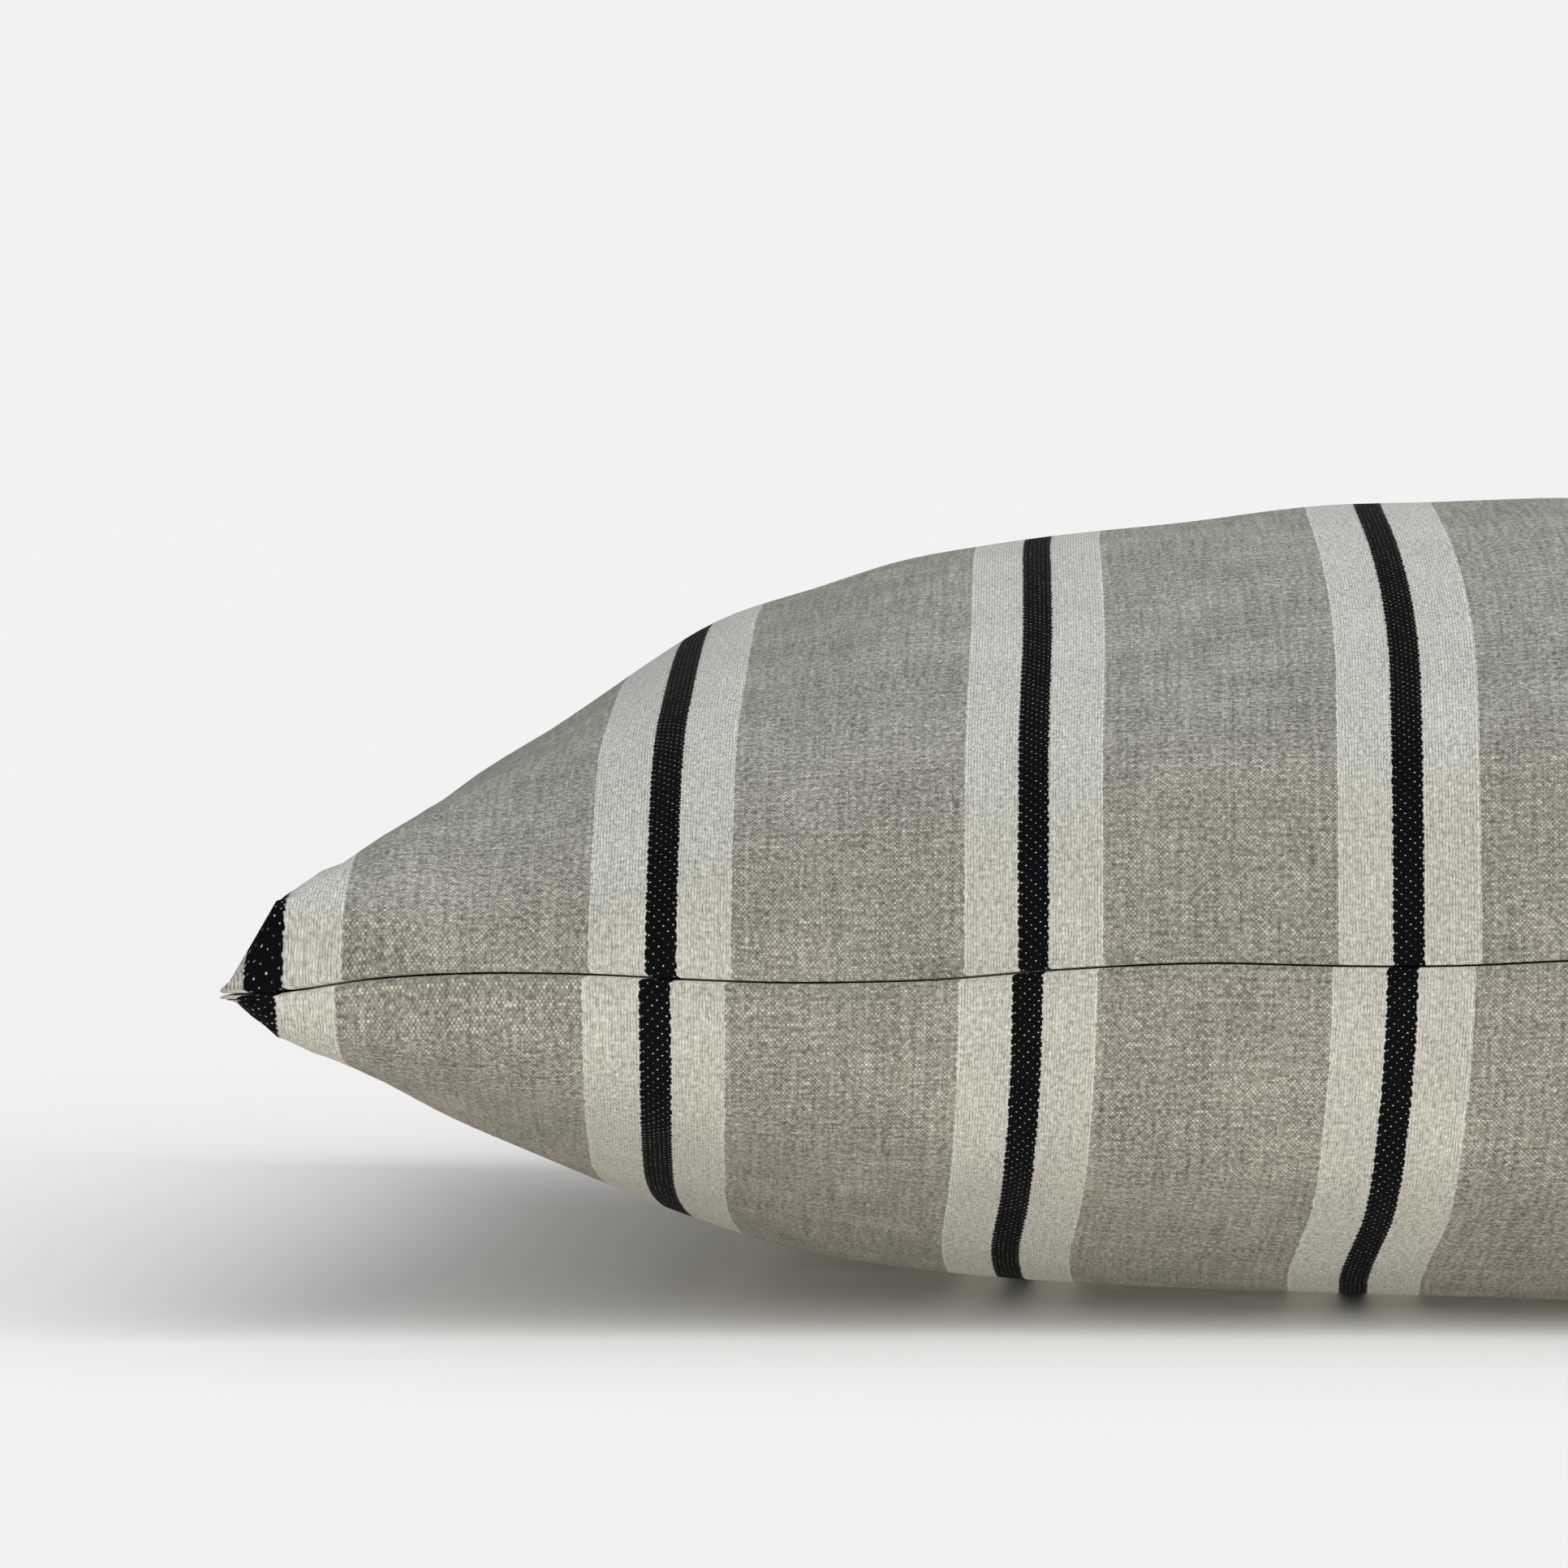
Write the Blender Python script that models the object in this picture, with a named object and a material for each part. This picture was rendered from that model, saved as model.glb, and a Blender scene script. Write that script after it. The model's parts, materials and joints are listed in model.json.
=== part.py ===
"""Throw pillow: a square knife-edge cover with a zip along its back edge, and the filled insert inside it.

Frame: +X along the front edge, -Y towards the front, +Z up. The origin is on the surface the pillow
lies on, under its centre. All sizes are in metres.

The cover's two panels and the insert's two are crowned shells: each is a sheet that bulges from a seam
outline whose sides pull in between the corners, with its seam allowance turned in. The seam plane is
level. Threads lie in it, between the allowances, and the zip runs straight along the back edge.
"""

import math

import bmesh
import bpy
from mathutils import Vector

# Driving dimensions of the stuffed cover
CORNER_HALF = 0.243  # centre to a corner tip, measured along X and along Y
EDGE_PULL = 0.022  # how far the stuffing pulls the middle of an edge in, behind its corners
SEAM_HEIGHT = 0.068  # seam plane above the surface that the pillow lies on
UPPER_RISE = 0.082  # crown of the upper panel above its fold
LOWER_PRESS = 0.014  # how far the surface presses the bulge of the lower panel in
CLOTH = 0.0008  # thickness of the woven cover cloth
SEAM_ALLOWANCE = 0.012
GAP = 0.0003  # clearance between pieces that touch

# Insert
TICKING = 0.0005  # thickness of the insert's cloth
TICKING_ALLOWANCE = 0.008
FILL_EDGE = 0.003  # half-thickness of the filling at its rim
SEAT_CLEARANCE = 0.0008  # between the insert and the cover above and below it
INSERT_CLEARANCE = 0.0024  # between the insert's seam and the overlocked allowances round it

# Threads
SEAM_THREAD_R = 0.0004
SEAM_THREAD_INSET = 0.003  # from the fold to the stitch line
OVERLOCK_R = 0.0011

# Zip
TAPE_HALF_LENGTH = 0.168
TAPE_END = 0.008  # tape that runs on past the stops
TAPE = 0.0005
TAPE_WIDTH = 0.010
COIL_DEPTH = 0.0013  # along Y
COIL_HEIGHT = 0.0017  # along Z, spine and teeth
COIL_SPINE = 0.0006
TOOTH_PITCH = 0.004
TOOTH_WIDTH = 0.0012
STOP_LENGTH = 0.0025
STOP_OVERHANG = 0.0008  # how far a stop stands past the coil, into the slider's way
SLIDER_LENGTH = 0.009
SLIDER_HALF_HEIGHT = 0.004
PLATE = 0.0008
NECK = 0.0009  # thickness of the slider's neck, which passes between the two folds
EYE_R = 0.0018
EYE_HOLE_R = 0.00085
PULL_STANDOFF = 0.0015  # hinge axis outside the fold
PULL_LENGTH = 0.022
PULL_HALF_WIDTH = 0.0025
PULL_THICKNESS = 0.001
PULL_BAR_R = 0.00045
PULL_CLEARANCE = 0.0004  # round the eye, inside the pull's window

# Shape of the forms
HALF_CELLS = 8  # grid cells from the centre to an edge
FLOOR_BLEND = 0.1  # share of the depth over which the lower panel turns flat on the surface
CORNER_TURN = 1.5  # power of the back edge's swing from the straight zip out to the corners
CORNER_PASSES = 60  # rounds in which an outline's corner settles on both of its edges
ARC_STEPS = 10  # facets in a half circle

# What follows from them
EDGE_HALF = CORNER_HALF - EDGE_PULL
CHAIN_HALF_LENGTH = TAPE_HALF_LENGTH - TAPE_END
LOWER_DROP = SEAM_HEIGHT + LOWER_PRESS
SLOT_HALF = NECK / 2 + GAP  # half the opening between the folds of the two panels
STEPS = range(-HALF_CELLS, HALF_CELLS + 1)
CELL_ANGLE = math.pi / 2 / HALF_CELLS
INSERT_INSET = SEAM_ALLOWANCE + 2 * OVERLOCK_R + INSERT_CLEARANCE


def share(step):
    """Place of a grid line between the centre (0) and an edge (1): close together near the edge."""
    return math.sin(step * CELL_ANGLE)


def swell(step_x, step_y):
    """Height of the form at a grid point, as a share of its crown: an ellipse across each way."""
    if HALF_CELLS in (abs(step_x), abs(step_y)):
        return 0.0
    return math.cos(step_x * CELL_ANGLE) * math.cos(step_y * CELL_ANGLE)


def settle(depth, limit):
    """A depth that grows freely at first, then turns smoothly level at the limit."""
    ratio = depth / limit
    if ratio <= 1 - FLOOR_BLEND:
        return depth
    if ratio >= 1 + FLOOR_BLEND:
        return limit
    return limit * (1 - (1 + FLOOR_BLEND - ratio) ** 2 / (4 * FLOOR_BLEND))


def side_half(edge_half, along):
    """Half-width of a sewn side at a distance along it, for an outline with that half-width midway."""
    return edge_half + BOW * along**2


def back_half(edge_half, along):
    """Half-width of the back at a distance along it: straight at the zip, then out to the corners."""
    return edge_half + SWING * max(0.0, abs(along) - STRAIGHT_HALF) ** CORNER_TURN


def corner(edge_half, half):
    """Where a side meets the front or the back, given as the half-width rule of that edge."""
    x = y = edge_half
    for _ in range(CORNER_PASSES):
        x, y = side_half(edge_half, y), half(edge_half, x)
    return x, y


class Form:
    """A crowned square form: its outline in plan, and the surfaces above and below the seam plane.

    Forms that lie inside each other have parallel outlines, so only the half-width midway differs.
    """

    def __init__(self, edge_half, rise, drop, floor):
        self.edge_half = edge_half
        self.rise = rise
        self.drop = drop
        self.limit = SEAM_HEIGHT - SLOT_HALF - floor
        self.front_corner = corner(edge_half, side_half)
        self.back_corner = corner(edge_half, back_half)

    def plan(self, step_x, step_y):
        u, v = share(step_x), share(step_y)
        half, (corner_x, corner_y) = (
            (back_half, self.back_corner) if v > 0 else (side_half, self.front_corner)
        )
        x = u * side_half(self.edge_half, v * corner_y)
        return x, v * half(self.edge_half, u * corner_x)

    def upper(self, step_x, step_y):
        x, y = self.plan(step_x, step_y)
        return Vector((x, y, SEAM_HEIGHT + SLOT_HALF + self.rise * swell(step_x, step_y)))

    def lower(self, step_x, step_y):
        x, y = self.plan(step_x, step_y)
        depth = settle(self.drop * swell(step_x, step_y), self.limit)
        return Vector((x, y, SEAM_HEIGHT - SLOT_HALF - depth))

    def mitre(self, key, inset):
        """The corner nearest to a grid point, of the outline moved in by the inset."""
        half = back_half if key[1] > 0 else side_half
        x, y = corner(self.edge_half - inset, half)
        return math.copysign(x, key[0]), math.copysign(y, key[1])

    def rim_point(self, key, inset):
        """A point of the outline moved in by the inset, square to the edge it lies on."""
        if abs(key[0]) == abs(key[1]):
            return self.mitre(key, inset)
        x, y = self.plan(*key)
        if abs(key[0]) == HALF_CELLS:
            return x - math.copysign(inset, x), y
        return x, y - math.copysign(inset, y)

    def mitre_key(self, key, inset):
        """The corner, where a point lies so near it that moving it in would pass the mitre."""
        place = [abs(part) for part in self.rim_point(key, inset)]
        limit = [abs(part) - GAP for part in self.mitre(key, inset)]
        if place[0] > limit[0] and place[1] > limit[1]:
            return tuple(int(math.copysign(HALF_CELLS, step)) for step in key)
        return key


# The cover's outline sets how the sides bow and how the back swings out past the zip
ZIP_STEP = next(k for k in range(HALF_CELLS) if share(k) * CORNER_HALF >= TAPE_HALF_LENGTH)
STRAIGHT_HALF = share(ZIP_STEP) * CORNER_HALF
BOW = EDGE_PULL / CORNER_HALF**2
SWING = EDGE_PULL / (CORNER_HALF - STRAIGHT_HALF) ** CORNER_TURN

COVER = Form(EDGE_HALF, UPPER_RISE, LOWER_DROP, 0.0)
INSERT = Form(
    EDGE_HALF - INSERT_INSET,
    UPPER_RISE - CLOTH - SEAT_CLEARANCE,
    LOWER_DROP - CLOTH - SEAT_CLEARANCE,
    CLOTH + SEAT_CLEARANCE,
)
FILL = Form(
    INSERT.edge_half - TICKING_ALLOWANCE - SEAT_CLEARANCE,
    INSERT.rise - TICKING - SEAT_CLEARANCE,
    INSERT.drop - TICKING - SEAT_CLEARANCE,
    CLOTH + SEAT_CLEARANCE + TICKING + SEAT_CLEARANCE,
)


def wall_lean():
    """How far the back wall leans in for each metre of height, at the zip's end, where it leans most."""
    leans = []
    for surface in (COVER.upper, COVER.lower):
        fold = surface(ZIP_STEP, HALF_CELLS)
        inside = surface(ZIP_STEP, HALF_CELLS - 1)
        leans.append((fold.y - inside.y) / abs(inside.z - fold.z))
    return max(leans)


# Layers of the zip, from the fold inwards: outer plate, tape, coil, inner plate (their outer faces, Y)
LEAN = wall_lean()
WALL_ACROSS = CLOTH * math.hypot(1, LEAN)
OUTER_PLATE_Y = EDGE_HALF - WALL_ACROSS - LEAN * SLIDER_HALF_HEIGHT - GAP
TAPE_Y = OUTER_PLATE_Y - PLATE - GAP
COIL_Y = TAPE_Y - TAPE - GAP
INNER_PLATE_Y = COIL_Y - COIL_DEPTH - GAP
COIL_TOP = SLOT_HALF + COIL_HEIGHT
CHAIN_END = CHAIN_HALF_LENGTH - STOP_LENGTH - GAP
SLIDER_REST_X = CHAIN_HALF_LENGTH - STOP_LENGTH - GAP - SLIDER_LENGTH / 2
HINGE_Y = EDGE_HALF + PULL_STANDOFF


def clear_scene():
    for obj in list(bpy.data.objects):
        bpy.data.objects.remove(obj, do_unlink=True)


class Finish:
    """A plain look, from which each object makes a Principled BSDF material of its own."""

    def __init__(self, colour, roughness, metallic=0.0):
        self.colour = colour
        self.roughness = roughness
        self.metallic = metallic

    def material(self, name):
        material = bpy.data.materials.new(name)
        material.use_nodes = True
        shader = material.node_tree.nodes["Principled BSDF"]
        shader.inputs["Base Color"].default_value = (*self.colour, 1.0)
        shader.inputs["Roughness"].default_value = self.roughness
        shader.inputs["Metallic"].default_value = self.metallic
        return material


COVER_CLOTH = Finish((0.30, 0.28, 0.23), 0.9)
SEWING = Finish((0.25, 0.23, 0.19), 0.7)
BINDING = Finish((0.55, 0.53, 0.47), 0.8)
WOVEN_TAPE = Finish((0.27, 0.25, 0.21), 0.85)
NYLON = Finish((0.24, 0.22, 0.18), 0.4)
ZIP_METAL = Finish((0.42, 0.40, 0.36), 0.35, 1.0)
WHITE_CLOTH = Finish((0.80, 0.79, 0.76), 0.9)
WHITE_THREAD = Finish((0.85, 0.84, 0.82), 0.8)
WADDING = Finish((0.88, 0.88, 0.86), 1.0)


def add_object(name, data, finish, location=(0.0, 0.0, 0.0)):
    """Links an object, with a material of its own unless it is a Boolean's helper, without a finish."""
    obj = bpy.data.objects.new(name, data)
    obj.location = location
    if finish:
        obj.data.materials.append(finish.material(name))
    bpy.context.scene.collection.objects.link(obj)
    return obj


def mesh_object(name, bm, finish, location=(0.0, 0.0, 0.0), recalculate=True):
    """Turns a bmesh into an object, first turning its faces out unless they already point that way."""
    if recalculate:
        bmesh.ops.recalc_face_normals(bm, faces=bm.faces)
    mesh = bpy.data.meshes.new(name)
    bm.to_mesh(mesh)
    bm.free()
    return add_object(name, mesh, finish, location)


def rim_steps():
    """Grid points round the outline, anticlockwise from the back edge's middle."""
    n = HALF_CELLS
    back_left = [(k, n) for k in range(0, -n, -1)]
    left = [(-n, k) for k in range(n, -n, -1)]
    front = [(k, -n) for k in range(-n, n)]
    right = [(n, k) for k in range(-n, n)]
    back_right = [(k, n) for k in range(n, 0, -1)]
    return back_left + left + front + right + back_right


def on_zip(step_x, step_y):
    """Whether a point of the outline lies on the stretch that the zip closes."""
    return step_y == HALF_CELLS and abs(step_x) <= ZIP_STEP


def surface_normal(surface, step_x, step_y):
    """Upward normal of a surface at a grid point inside the outline."""
    along_x = surface(step_x + 1, step_y) - surface(step_x - 1, step_y)
    along_y = surface(step_x, step_y + 1) - surface(step_x, step_y - 1)
    return along_x.cross(along_y).normalized()


def fold_inset(surface, step_x, step_y, thickness):
    """How far inside the fold the sheet's inner faces meet, where it turns back along the seam plane."""
    inner_x = max(-HALF_CELLS + 1, min(HALF_CELLS - 1, step_x))
    inner_y = max(-HALF_CELLS + 1, min(HALF_CELLS - 1, step_y))
    fold = surface(step_x, step_y)
    inside = surface(inner_x, inner_y)
    run = min(abs(part) for part in (fold - inside).xy if abs(part) > GAP)
    opening = math.atan2(abs(inside.z - fold.z), run)
    return thickness / math.tan(opening / 2)


def inner_point(form, surface, key, up, thickness, at_zip):
    """The point of the sheet's inner surface that lies opposite a point of its outer one."""
    outer = surface(*key)
    if HALF_CELLS not in (abs(key[0]), abs(key[1])):
        return outer - surface_normal(surface, *key) * (thickness if up else -thickness)
    if at_zip:
        across = thickness * math.hypot(1, LEAN)
        return Vector((*form.rim_point(key, across), outer.z))
    inset = fold_inset(surface, *key, thickness)
    return Vector((*form.rim_point(key, inset), outer.z + (thickness if up else -thickness)))


def cells(bm, grid, up):
    """Faces over a grid of vertices: two triangles a cell, split the way from the centre to the corner.

    Skins that lie inside each other are split the same way, so they stay parallel where they twist.
    """
    for i in STEPS[:-1]:
        for j in STEPS[:-1]:
            ring = [grid[i, j], grid[i + 1, j], grid[i + 1, j + 1], grid[i, j + 1]]
            if (i < 0) != (j < 0):
                ring = ring[1:] + ring[:1]
            for corners in (ring[:3], [ring[0], *ring[2:]]):
                bm.faces.new(corners if up else corners[::-1])


def close_sheet(bm, inner):
    """Closes a sheet into a body: a second skin through the inner points, and walls along the edges."""
    skin = {vert: bm.verts.new(place) for vert, place in inner.items()}
    faces = list(bm.faces)
    walls = [loop for face in faces for loop in face.loops if loop.edge.is_boundary]
    ends = [(loop.vert, loop.link_loop_next.vert) for loop in walls]
    for face in faces:
        bm.faces.new([skin[vert] for vert in reversed(face.verts)])
    for start, end in ends:
        bm.faces.new((end, start, skin[start], skin[end]))


def panel(name, form, surface, up, thickness, allowance, finish, has_zip):
    """One panel: a crowned sheet with its seam allowance turned in, thickened towards the inside."""
    bm = bmesh.new()
    grid = {(i, j): bm.verts.new(surface(i, j)) for i in STEPS for j in STEPS}
    cells(bm, grid, up)
    inner = {}
    for key, vert in grid.items():
        at_zip = has_zip and on_zip(*key) and abs(key[0]) < ZIP_STEP
        inner[vert] = inner_point(form, surface, key, up, thickness, at_zip)

    lift = Vector((0.0, 0.0, thickness if up else -thickness))
    rim = rim_steps()
    cut_edge = {}
    for key, following in zip(rim, rim[1:] + rim[:1]):
        if has_zip and on_zip(*key) and on_zip(*following):
            continue
        turned = [form.mitre_key(end, allowance) for end in (following, key)]
        for end in turned:
            if end not in cut_edge:
                place = Vector((*form.rim_point(end, allowance), grid[end].co.z))
                cut_edge[end] = bm.verts.new(place)
                inner[cut_edge[end]] = place + lift
        ring = [grid[key], grid[following]] + [cut_edge[end] for end in dict.fromkeys(turned)]
        bm.faces.new(ring[::-1] if up else ring)
    close_sheet(bm, inner)
    mesh_object(name, bm, finish, recalculate=False).data.shade_smooth()


def thread(name, points, radius, finish, closed=False):
    """A round thread through the points."""
    curve = bpy.data.curves.new(name, "CURVE")
    curve.dimensions = "3D"
    curve.bevel_depth = radius
    curve.bevel_resolution = 1
    curve.use_fill_caps = not closed
    spline = curve.splines.new("POLY")
    spline.points.add(len(points) - 1)
    for target, place in zip(spline.points, points):
        target.co = (*place, 1.0)
    spline.use_cyclic_u = closed
    add_object(name, curve, finish)


def seam_route(form, inset, has_zip):
    """Points in the seam plane along the outline, moved in by the inset, without the zip's stretch."""
    keys = [key for key in rim_steps() if form.mitre_key(key, inset) == key]
    if has_zip:
        keys = [key for key in keys if not on_zip(*key) or abs(key[0]) == ZIP_STEP]
    return [Vector((*form.rim_point(key, inset), SEAM_HEIGHT)) for key in keys]


def fill_body(name, form, finish):
    """The filling: one closed solid, crowned above and below, with a narrow blunt rim."""
    bm = bmesh.new()
    for surface, lift in ((form.upper, FILL_EDGE), (form.lower, -FILL_EDGE)):
        grid = {}
        for i in STEPS:
            for j in STEPS:
                point = surface(i, j)
                at_rim = HALF_CELLS in (abs(i), abs(j))
                grid[i, j] = bm.verts.new(point + Vector((0, 0, lift if at_rim else 0.0)))
        cells(bm, grid, lift > 0)
    edges = [edge for edge in bm.edges if edge.is_boundary]
    bmesh.ops.bridge_loops(bm, edges=edges)
    mesh_object(name, bm, finish).data.shade_smooth()


def extruded(name, outline, along, finish=None, location=(0.0, 0.0, 0.0)):
    """A prism: a flat outline swept by the vector along."""
    bm = bmesh.new()
    face = bm.faces.new([bm.verts.new(point) for point in outline])
    swept = bmesh.ops.extrude_face_region(bm, geom=[face])["geom"]
    ends = [item for item in swept if isinstance(item, bmesh.types.BMVert)]
    bmesh.ops.translate(bm, verts=ends, vec=along)
    return mesh_object(name, bm, finish, location)


def half_circle(radius, start):
    """Points of a half circle round the origin, anticlockwise from the start angle."""
    angles = [start + math.pi * k / ARC_STEPS for k in range(ARC_STEPS + 1)]
    return [(radius * math.cos(angle), radius * math.sin(angle)) for angle in angles]


def lengthwise(name, section, side, start, end, finish):
    """A piece with the same section (y, and z from the seam plane) all along the zip."""
    outline = [Vector((start, y, SEAM_HEIGHT + side * z)) for y, z in section]
    extruded(name, outline, Vector((end - start, 0.0, 0.0)), finish)


def tape_section():
    """The tape hangs straight behind the chain, then follows the leaning wall it is sewn to."""
    seat = EDGE_HALF - WALL_ACROSS - GAP * math.hypot(1, LEAN)
    bend = SLOT_HALF + (seat - TAPE_Y) / LEAN
    end = max(SLOT_HALF + TAPE_WIDTH, bend + TAPE)
    lean_in = LEAN * (end - bend)
    back = TAPE_Y - TAPE
    return [
        (TAPE_Y, SLOT_HALF),
        (TAPE_Y, bend),
        (TAPE_Y - lean_in, end),
        (back - lean_in, end),
        (back, bend),
        (back, SLOT_HALF),
    ]


def stitch_height():
    """Height of the tape's stitch line: past the slider's reach, on the tape's straight stretch."""
    return SLIDER_HALF_HEIGHT + GAP + 2 * SEAM_THREAD_R


def coil(name, side, shift, finish):
    """A comb: a spine along the tape with teeth that reach to the edge of the slot."""
    spine = COIL_TOP - COIL_SPINE
    outline = [(CHAIN_END, COIL_TOP), (-CHAIN_END, COIL_TOP), (-CHAIN_END, spine)]
    count = int(2 * CHAIN_END / TOOTH_PITCH) - 1
    first = -TOOTH_PITCH * (count - 1) / 2 + shift
    for tooth in range(count):
        left = first + tooth * TOOTH_PITCH - TOOTH_WIDTH / 2
        right = left + TOOTH_WIDTH
        outline += [(left, spine), (left, SLOT_HALF), (right, SLOT_HALF), (right, spine)]
    outline.append((CHAIN_END, spine))
    placed = [Vector((x, COIL_Y, SEAM_HEIGHT + side * z)) for x, z in outline]
    extruded(name, placed, Vector((0.0, -COIL_DEPTH, 0.0)), finish)


def boolean(obj, name, other, operation):
    cut = obj.modifiers.new(name, "BOOLEAN")
    cut.operation = operation
    cut.object = other
    other.hide_render = True
    other.display_type = "WIRE"


def cylinder_helper(name, radius, length, location):
    """A cylinder along Z, for a Boolean."""
    bm = bmesh.new()
    bmesh.ops.create_cone(
        bm, cap_ends=True, segments=2 * ARC_STEPS, radius1=radius, radius2=radius, depth=length
    )
    return mesh_object(name, bm, None, location)


def slider(finish):
    """The slider: two plates joined by a neck, walls beside the coils, and an eye outside the folds."""
    wall = COIL_TOP + GAP
    reach = SLIDER_HALF_HEIGHT
    half_neck = NECK / 2
    right = [
        (OUTER_PLATE_Y, 0.0),
        (OUTER_PLATE_Y, reach),
        (OUTER_PLATE_Y - PLATE, reach),
        (OUTER_PLATE_Y - PLATE, half_neck),
        (INNER_PLATE_Y, half_neck),
        (INNER_PLATE_Y, wall),
        (COIL_Y, wall),
        (COIL_Y, reach),
        (INNER_PLATE_Y - PLATE, reach),
        (INNER_PLATE_Y - PLATE, 0.0),
    ]
    outline = right + [(y, -z) for y, z in right[-2:0:-1]]
    start = Vector((-SLIDER_LENGTH / 2, -HINGE_Y, 0.0))
    points = [start + Vector((0.0, y, z)) for y, z in outline]
    place = (SLIDER_REST_X, HINGE_Y, SEAM_HEIGHT)
    body = extruded("zipper_slider", points, Vector((SLIDER_LENGTH, 0.0, 0.0)), finish, place)

    root = OUTER_PLATE_Y - PLATE / 2 - HINGE_Y
    eye_outline = [(EYE_R, root), *half_circle(EYE_R, 0.0), (-EYE_R, root)]
    flat = [Vector((x, y, -half_neck)) for x, y in eye_outline]
    eye = extruded("slider_eye", flat, Vector((0.0, 0.0, NECK)), location=place)
    hole = cylinder_helper("slider_eye_hole", EYE_HOLE_R, 2 * NECK, place)
    boolean(body, "Eye", eye, "UNION")
    boolean(body, "Eye hole", hole, "DIFFERENCE")
    return body


def pull_tab(finish, slider_body):
    """The pull: a rounded tab with a window round the eye, and a bar through it on the hinge axis."""
    half = PULL_THICKNESS / 2
    end_x = -PULL_LENGTH + PULL_HALF_WIDTH
    outline = [Vector((half, half, PULL_HALF_WIDTH))]
    for x, z in half_circle(PULL_HALF_WIDTH, math.pi / 2):
        outline.append(Vector((end_x + x, half, z)))
    outline.append(Vector((half, half, -PULL_HALF_WIDTH)))
    tab = extruded("zipper_pull", outline, Vector((0.0, -PULL_THICKNESS, 0.0)), finish)
    tab.parent = slider_body

    window_half = NECK / 2 + PULL_CLEARANCE
    window_end = -EYE_R - PULL_CLEARANCE
    window_outline = [
        Vector((PULL_THICKNESS, PULL_THICKNESS, -window_half)),
        Vector((window_end, PULL_THICKNESS, -window_half)),
        Vector((window_end, PULL_THICKNESS, window_half)),
        Vector((PULL_THICKNESS, PULL_THICKNESS, window_half)),
    ]
    place = slider_body.location
    sweep = Vector((0.0, -2 * PULL_THICKNESS, 0.0))
    window = extruded("pull_window", window_outline, sweep, location=place)
    bar_length = 2 * window_half + PULL_HALF_WIDTH
    bar = cylinder_helper("pull_bar", PULL_BAR_R, bar_length, place)
    boolean(tab, "Window", window, "DIFFERENCE")
    boolean(tab, "Bar", bar, "UNION")


def stops(finish):
    """A stop on each tape at the closed end, and one across both at the open end."""
    tip = COIL_TOP + STOP_OVERHANG
    deep = COIL_Y - COIL_DEPTH
    start = CHAIN_HALF_LENGTH - STOP_LENGTH
    for name, side in (("zipper_top_stop_upper", 1), ("zipper_top_stop_lower", -1)):
        square = [(COIL_Y, SLOT_HALF), (COIL_Y, tip), (deep, tip), (deep, SLOT_HALF)]
        lengthwise(name, square, side, start, CHAIN_HALF_LENGTH, finish)
    across = [(COIL_Y, -tip), (COIL_Y, tip), (deep, tip), (deep, -tip)]
    lengthwise("zipper_bottom_stop", across, 1, -CHAIN_HALF_LENGTH, -start, finish)


def build_cover():
    cloth = (CLOTH, SEAM_ALLOWANCE, COVER_CLOTH, True)
    panel("cover_upper_panel", COVER, COVER.upper, True, *cloth)
    panel("cover_lower_panel", COVER, COVER.lower, False, *cloth)
    thread("seam_thread", seam_route(COVER, SEAM_THREAD_INSET, True), SEAM_THREAD_R, SEWING)
    inset = SEAM_ALLOWANCE + 2 * GAP + OVERLOCK_R
    thread("overlock_thread", seam_route(COVER, inset, True), OVERLOCK_R, BINDING)


def build_zip():
    ends = (-TAPE_HALF_LENGTH, TAPE_HALF_LENGTH)
    stitch_y = TAPE_Y - TAPE - GAP - SEAM_THREAD_R
    stitch_end = TAPE_HALF_LENGTH - SEAM_THREAD_INSET
    for word, side in (("upper", 1), ("lower", -1)):
        lengthwise(f"zipper_tape_{word}", tape_section(), side, *ends, WOVEN_TAPE)
        coil(f"zipper_coil_{word}", side, side * TOOTH_PITCH / 4, NYLON)
        height = SEAM_HEIGHT + side * stitch_height()
        points = [Vector((x, stitch_y, height)) for x in (-stitch_end, stitch_end)]
        thread(f"zipper_stitch_{word}", points, SEAM_THREAD_R, SEWING)
    stops(ZIP_METAL)
    pull_tab(ZIP_METAL, slider(ZIP_METAL))


def build_insert():
    cloth = (TICKING, TICKING_ALLOWANCE, WHITE_CLOTH, False)
    panel("insert_upper_ticking", INSERT, INSERT.upper, True, *cloth)
    panel("insert_lower_ticking", INSERT, INSERT.lower, False, *cloth)
    route = seam_route(INSERT, SEAM_THREAD_INSET, False)
    thread("insert_seam_thread", route, SEAM_THREAD_R, WHITE_THREAD, closed=True)
    fill_body("insert_fill", FILL, WADDING)


def main():
    clear_scene()
    build_cover()
    build_zip()
    build_insert()


main()
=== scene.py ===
"""Throw pillow: a striped, woven, knife-edge cover with a zip along its back edge, and its filled insert.

Lengths are in metres, except on the cloth's own threads and stripes, which are in millimetres. +X runs
along the front edge, -Y is the front and +Z is up. The pillow lies on the floor at Z = 0.
"""

import json
import logging
import math
from dataclasses import dataclass, field
from enum import Enum

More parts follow.
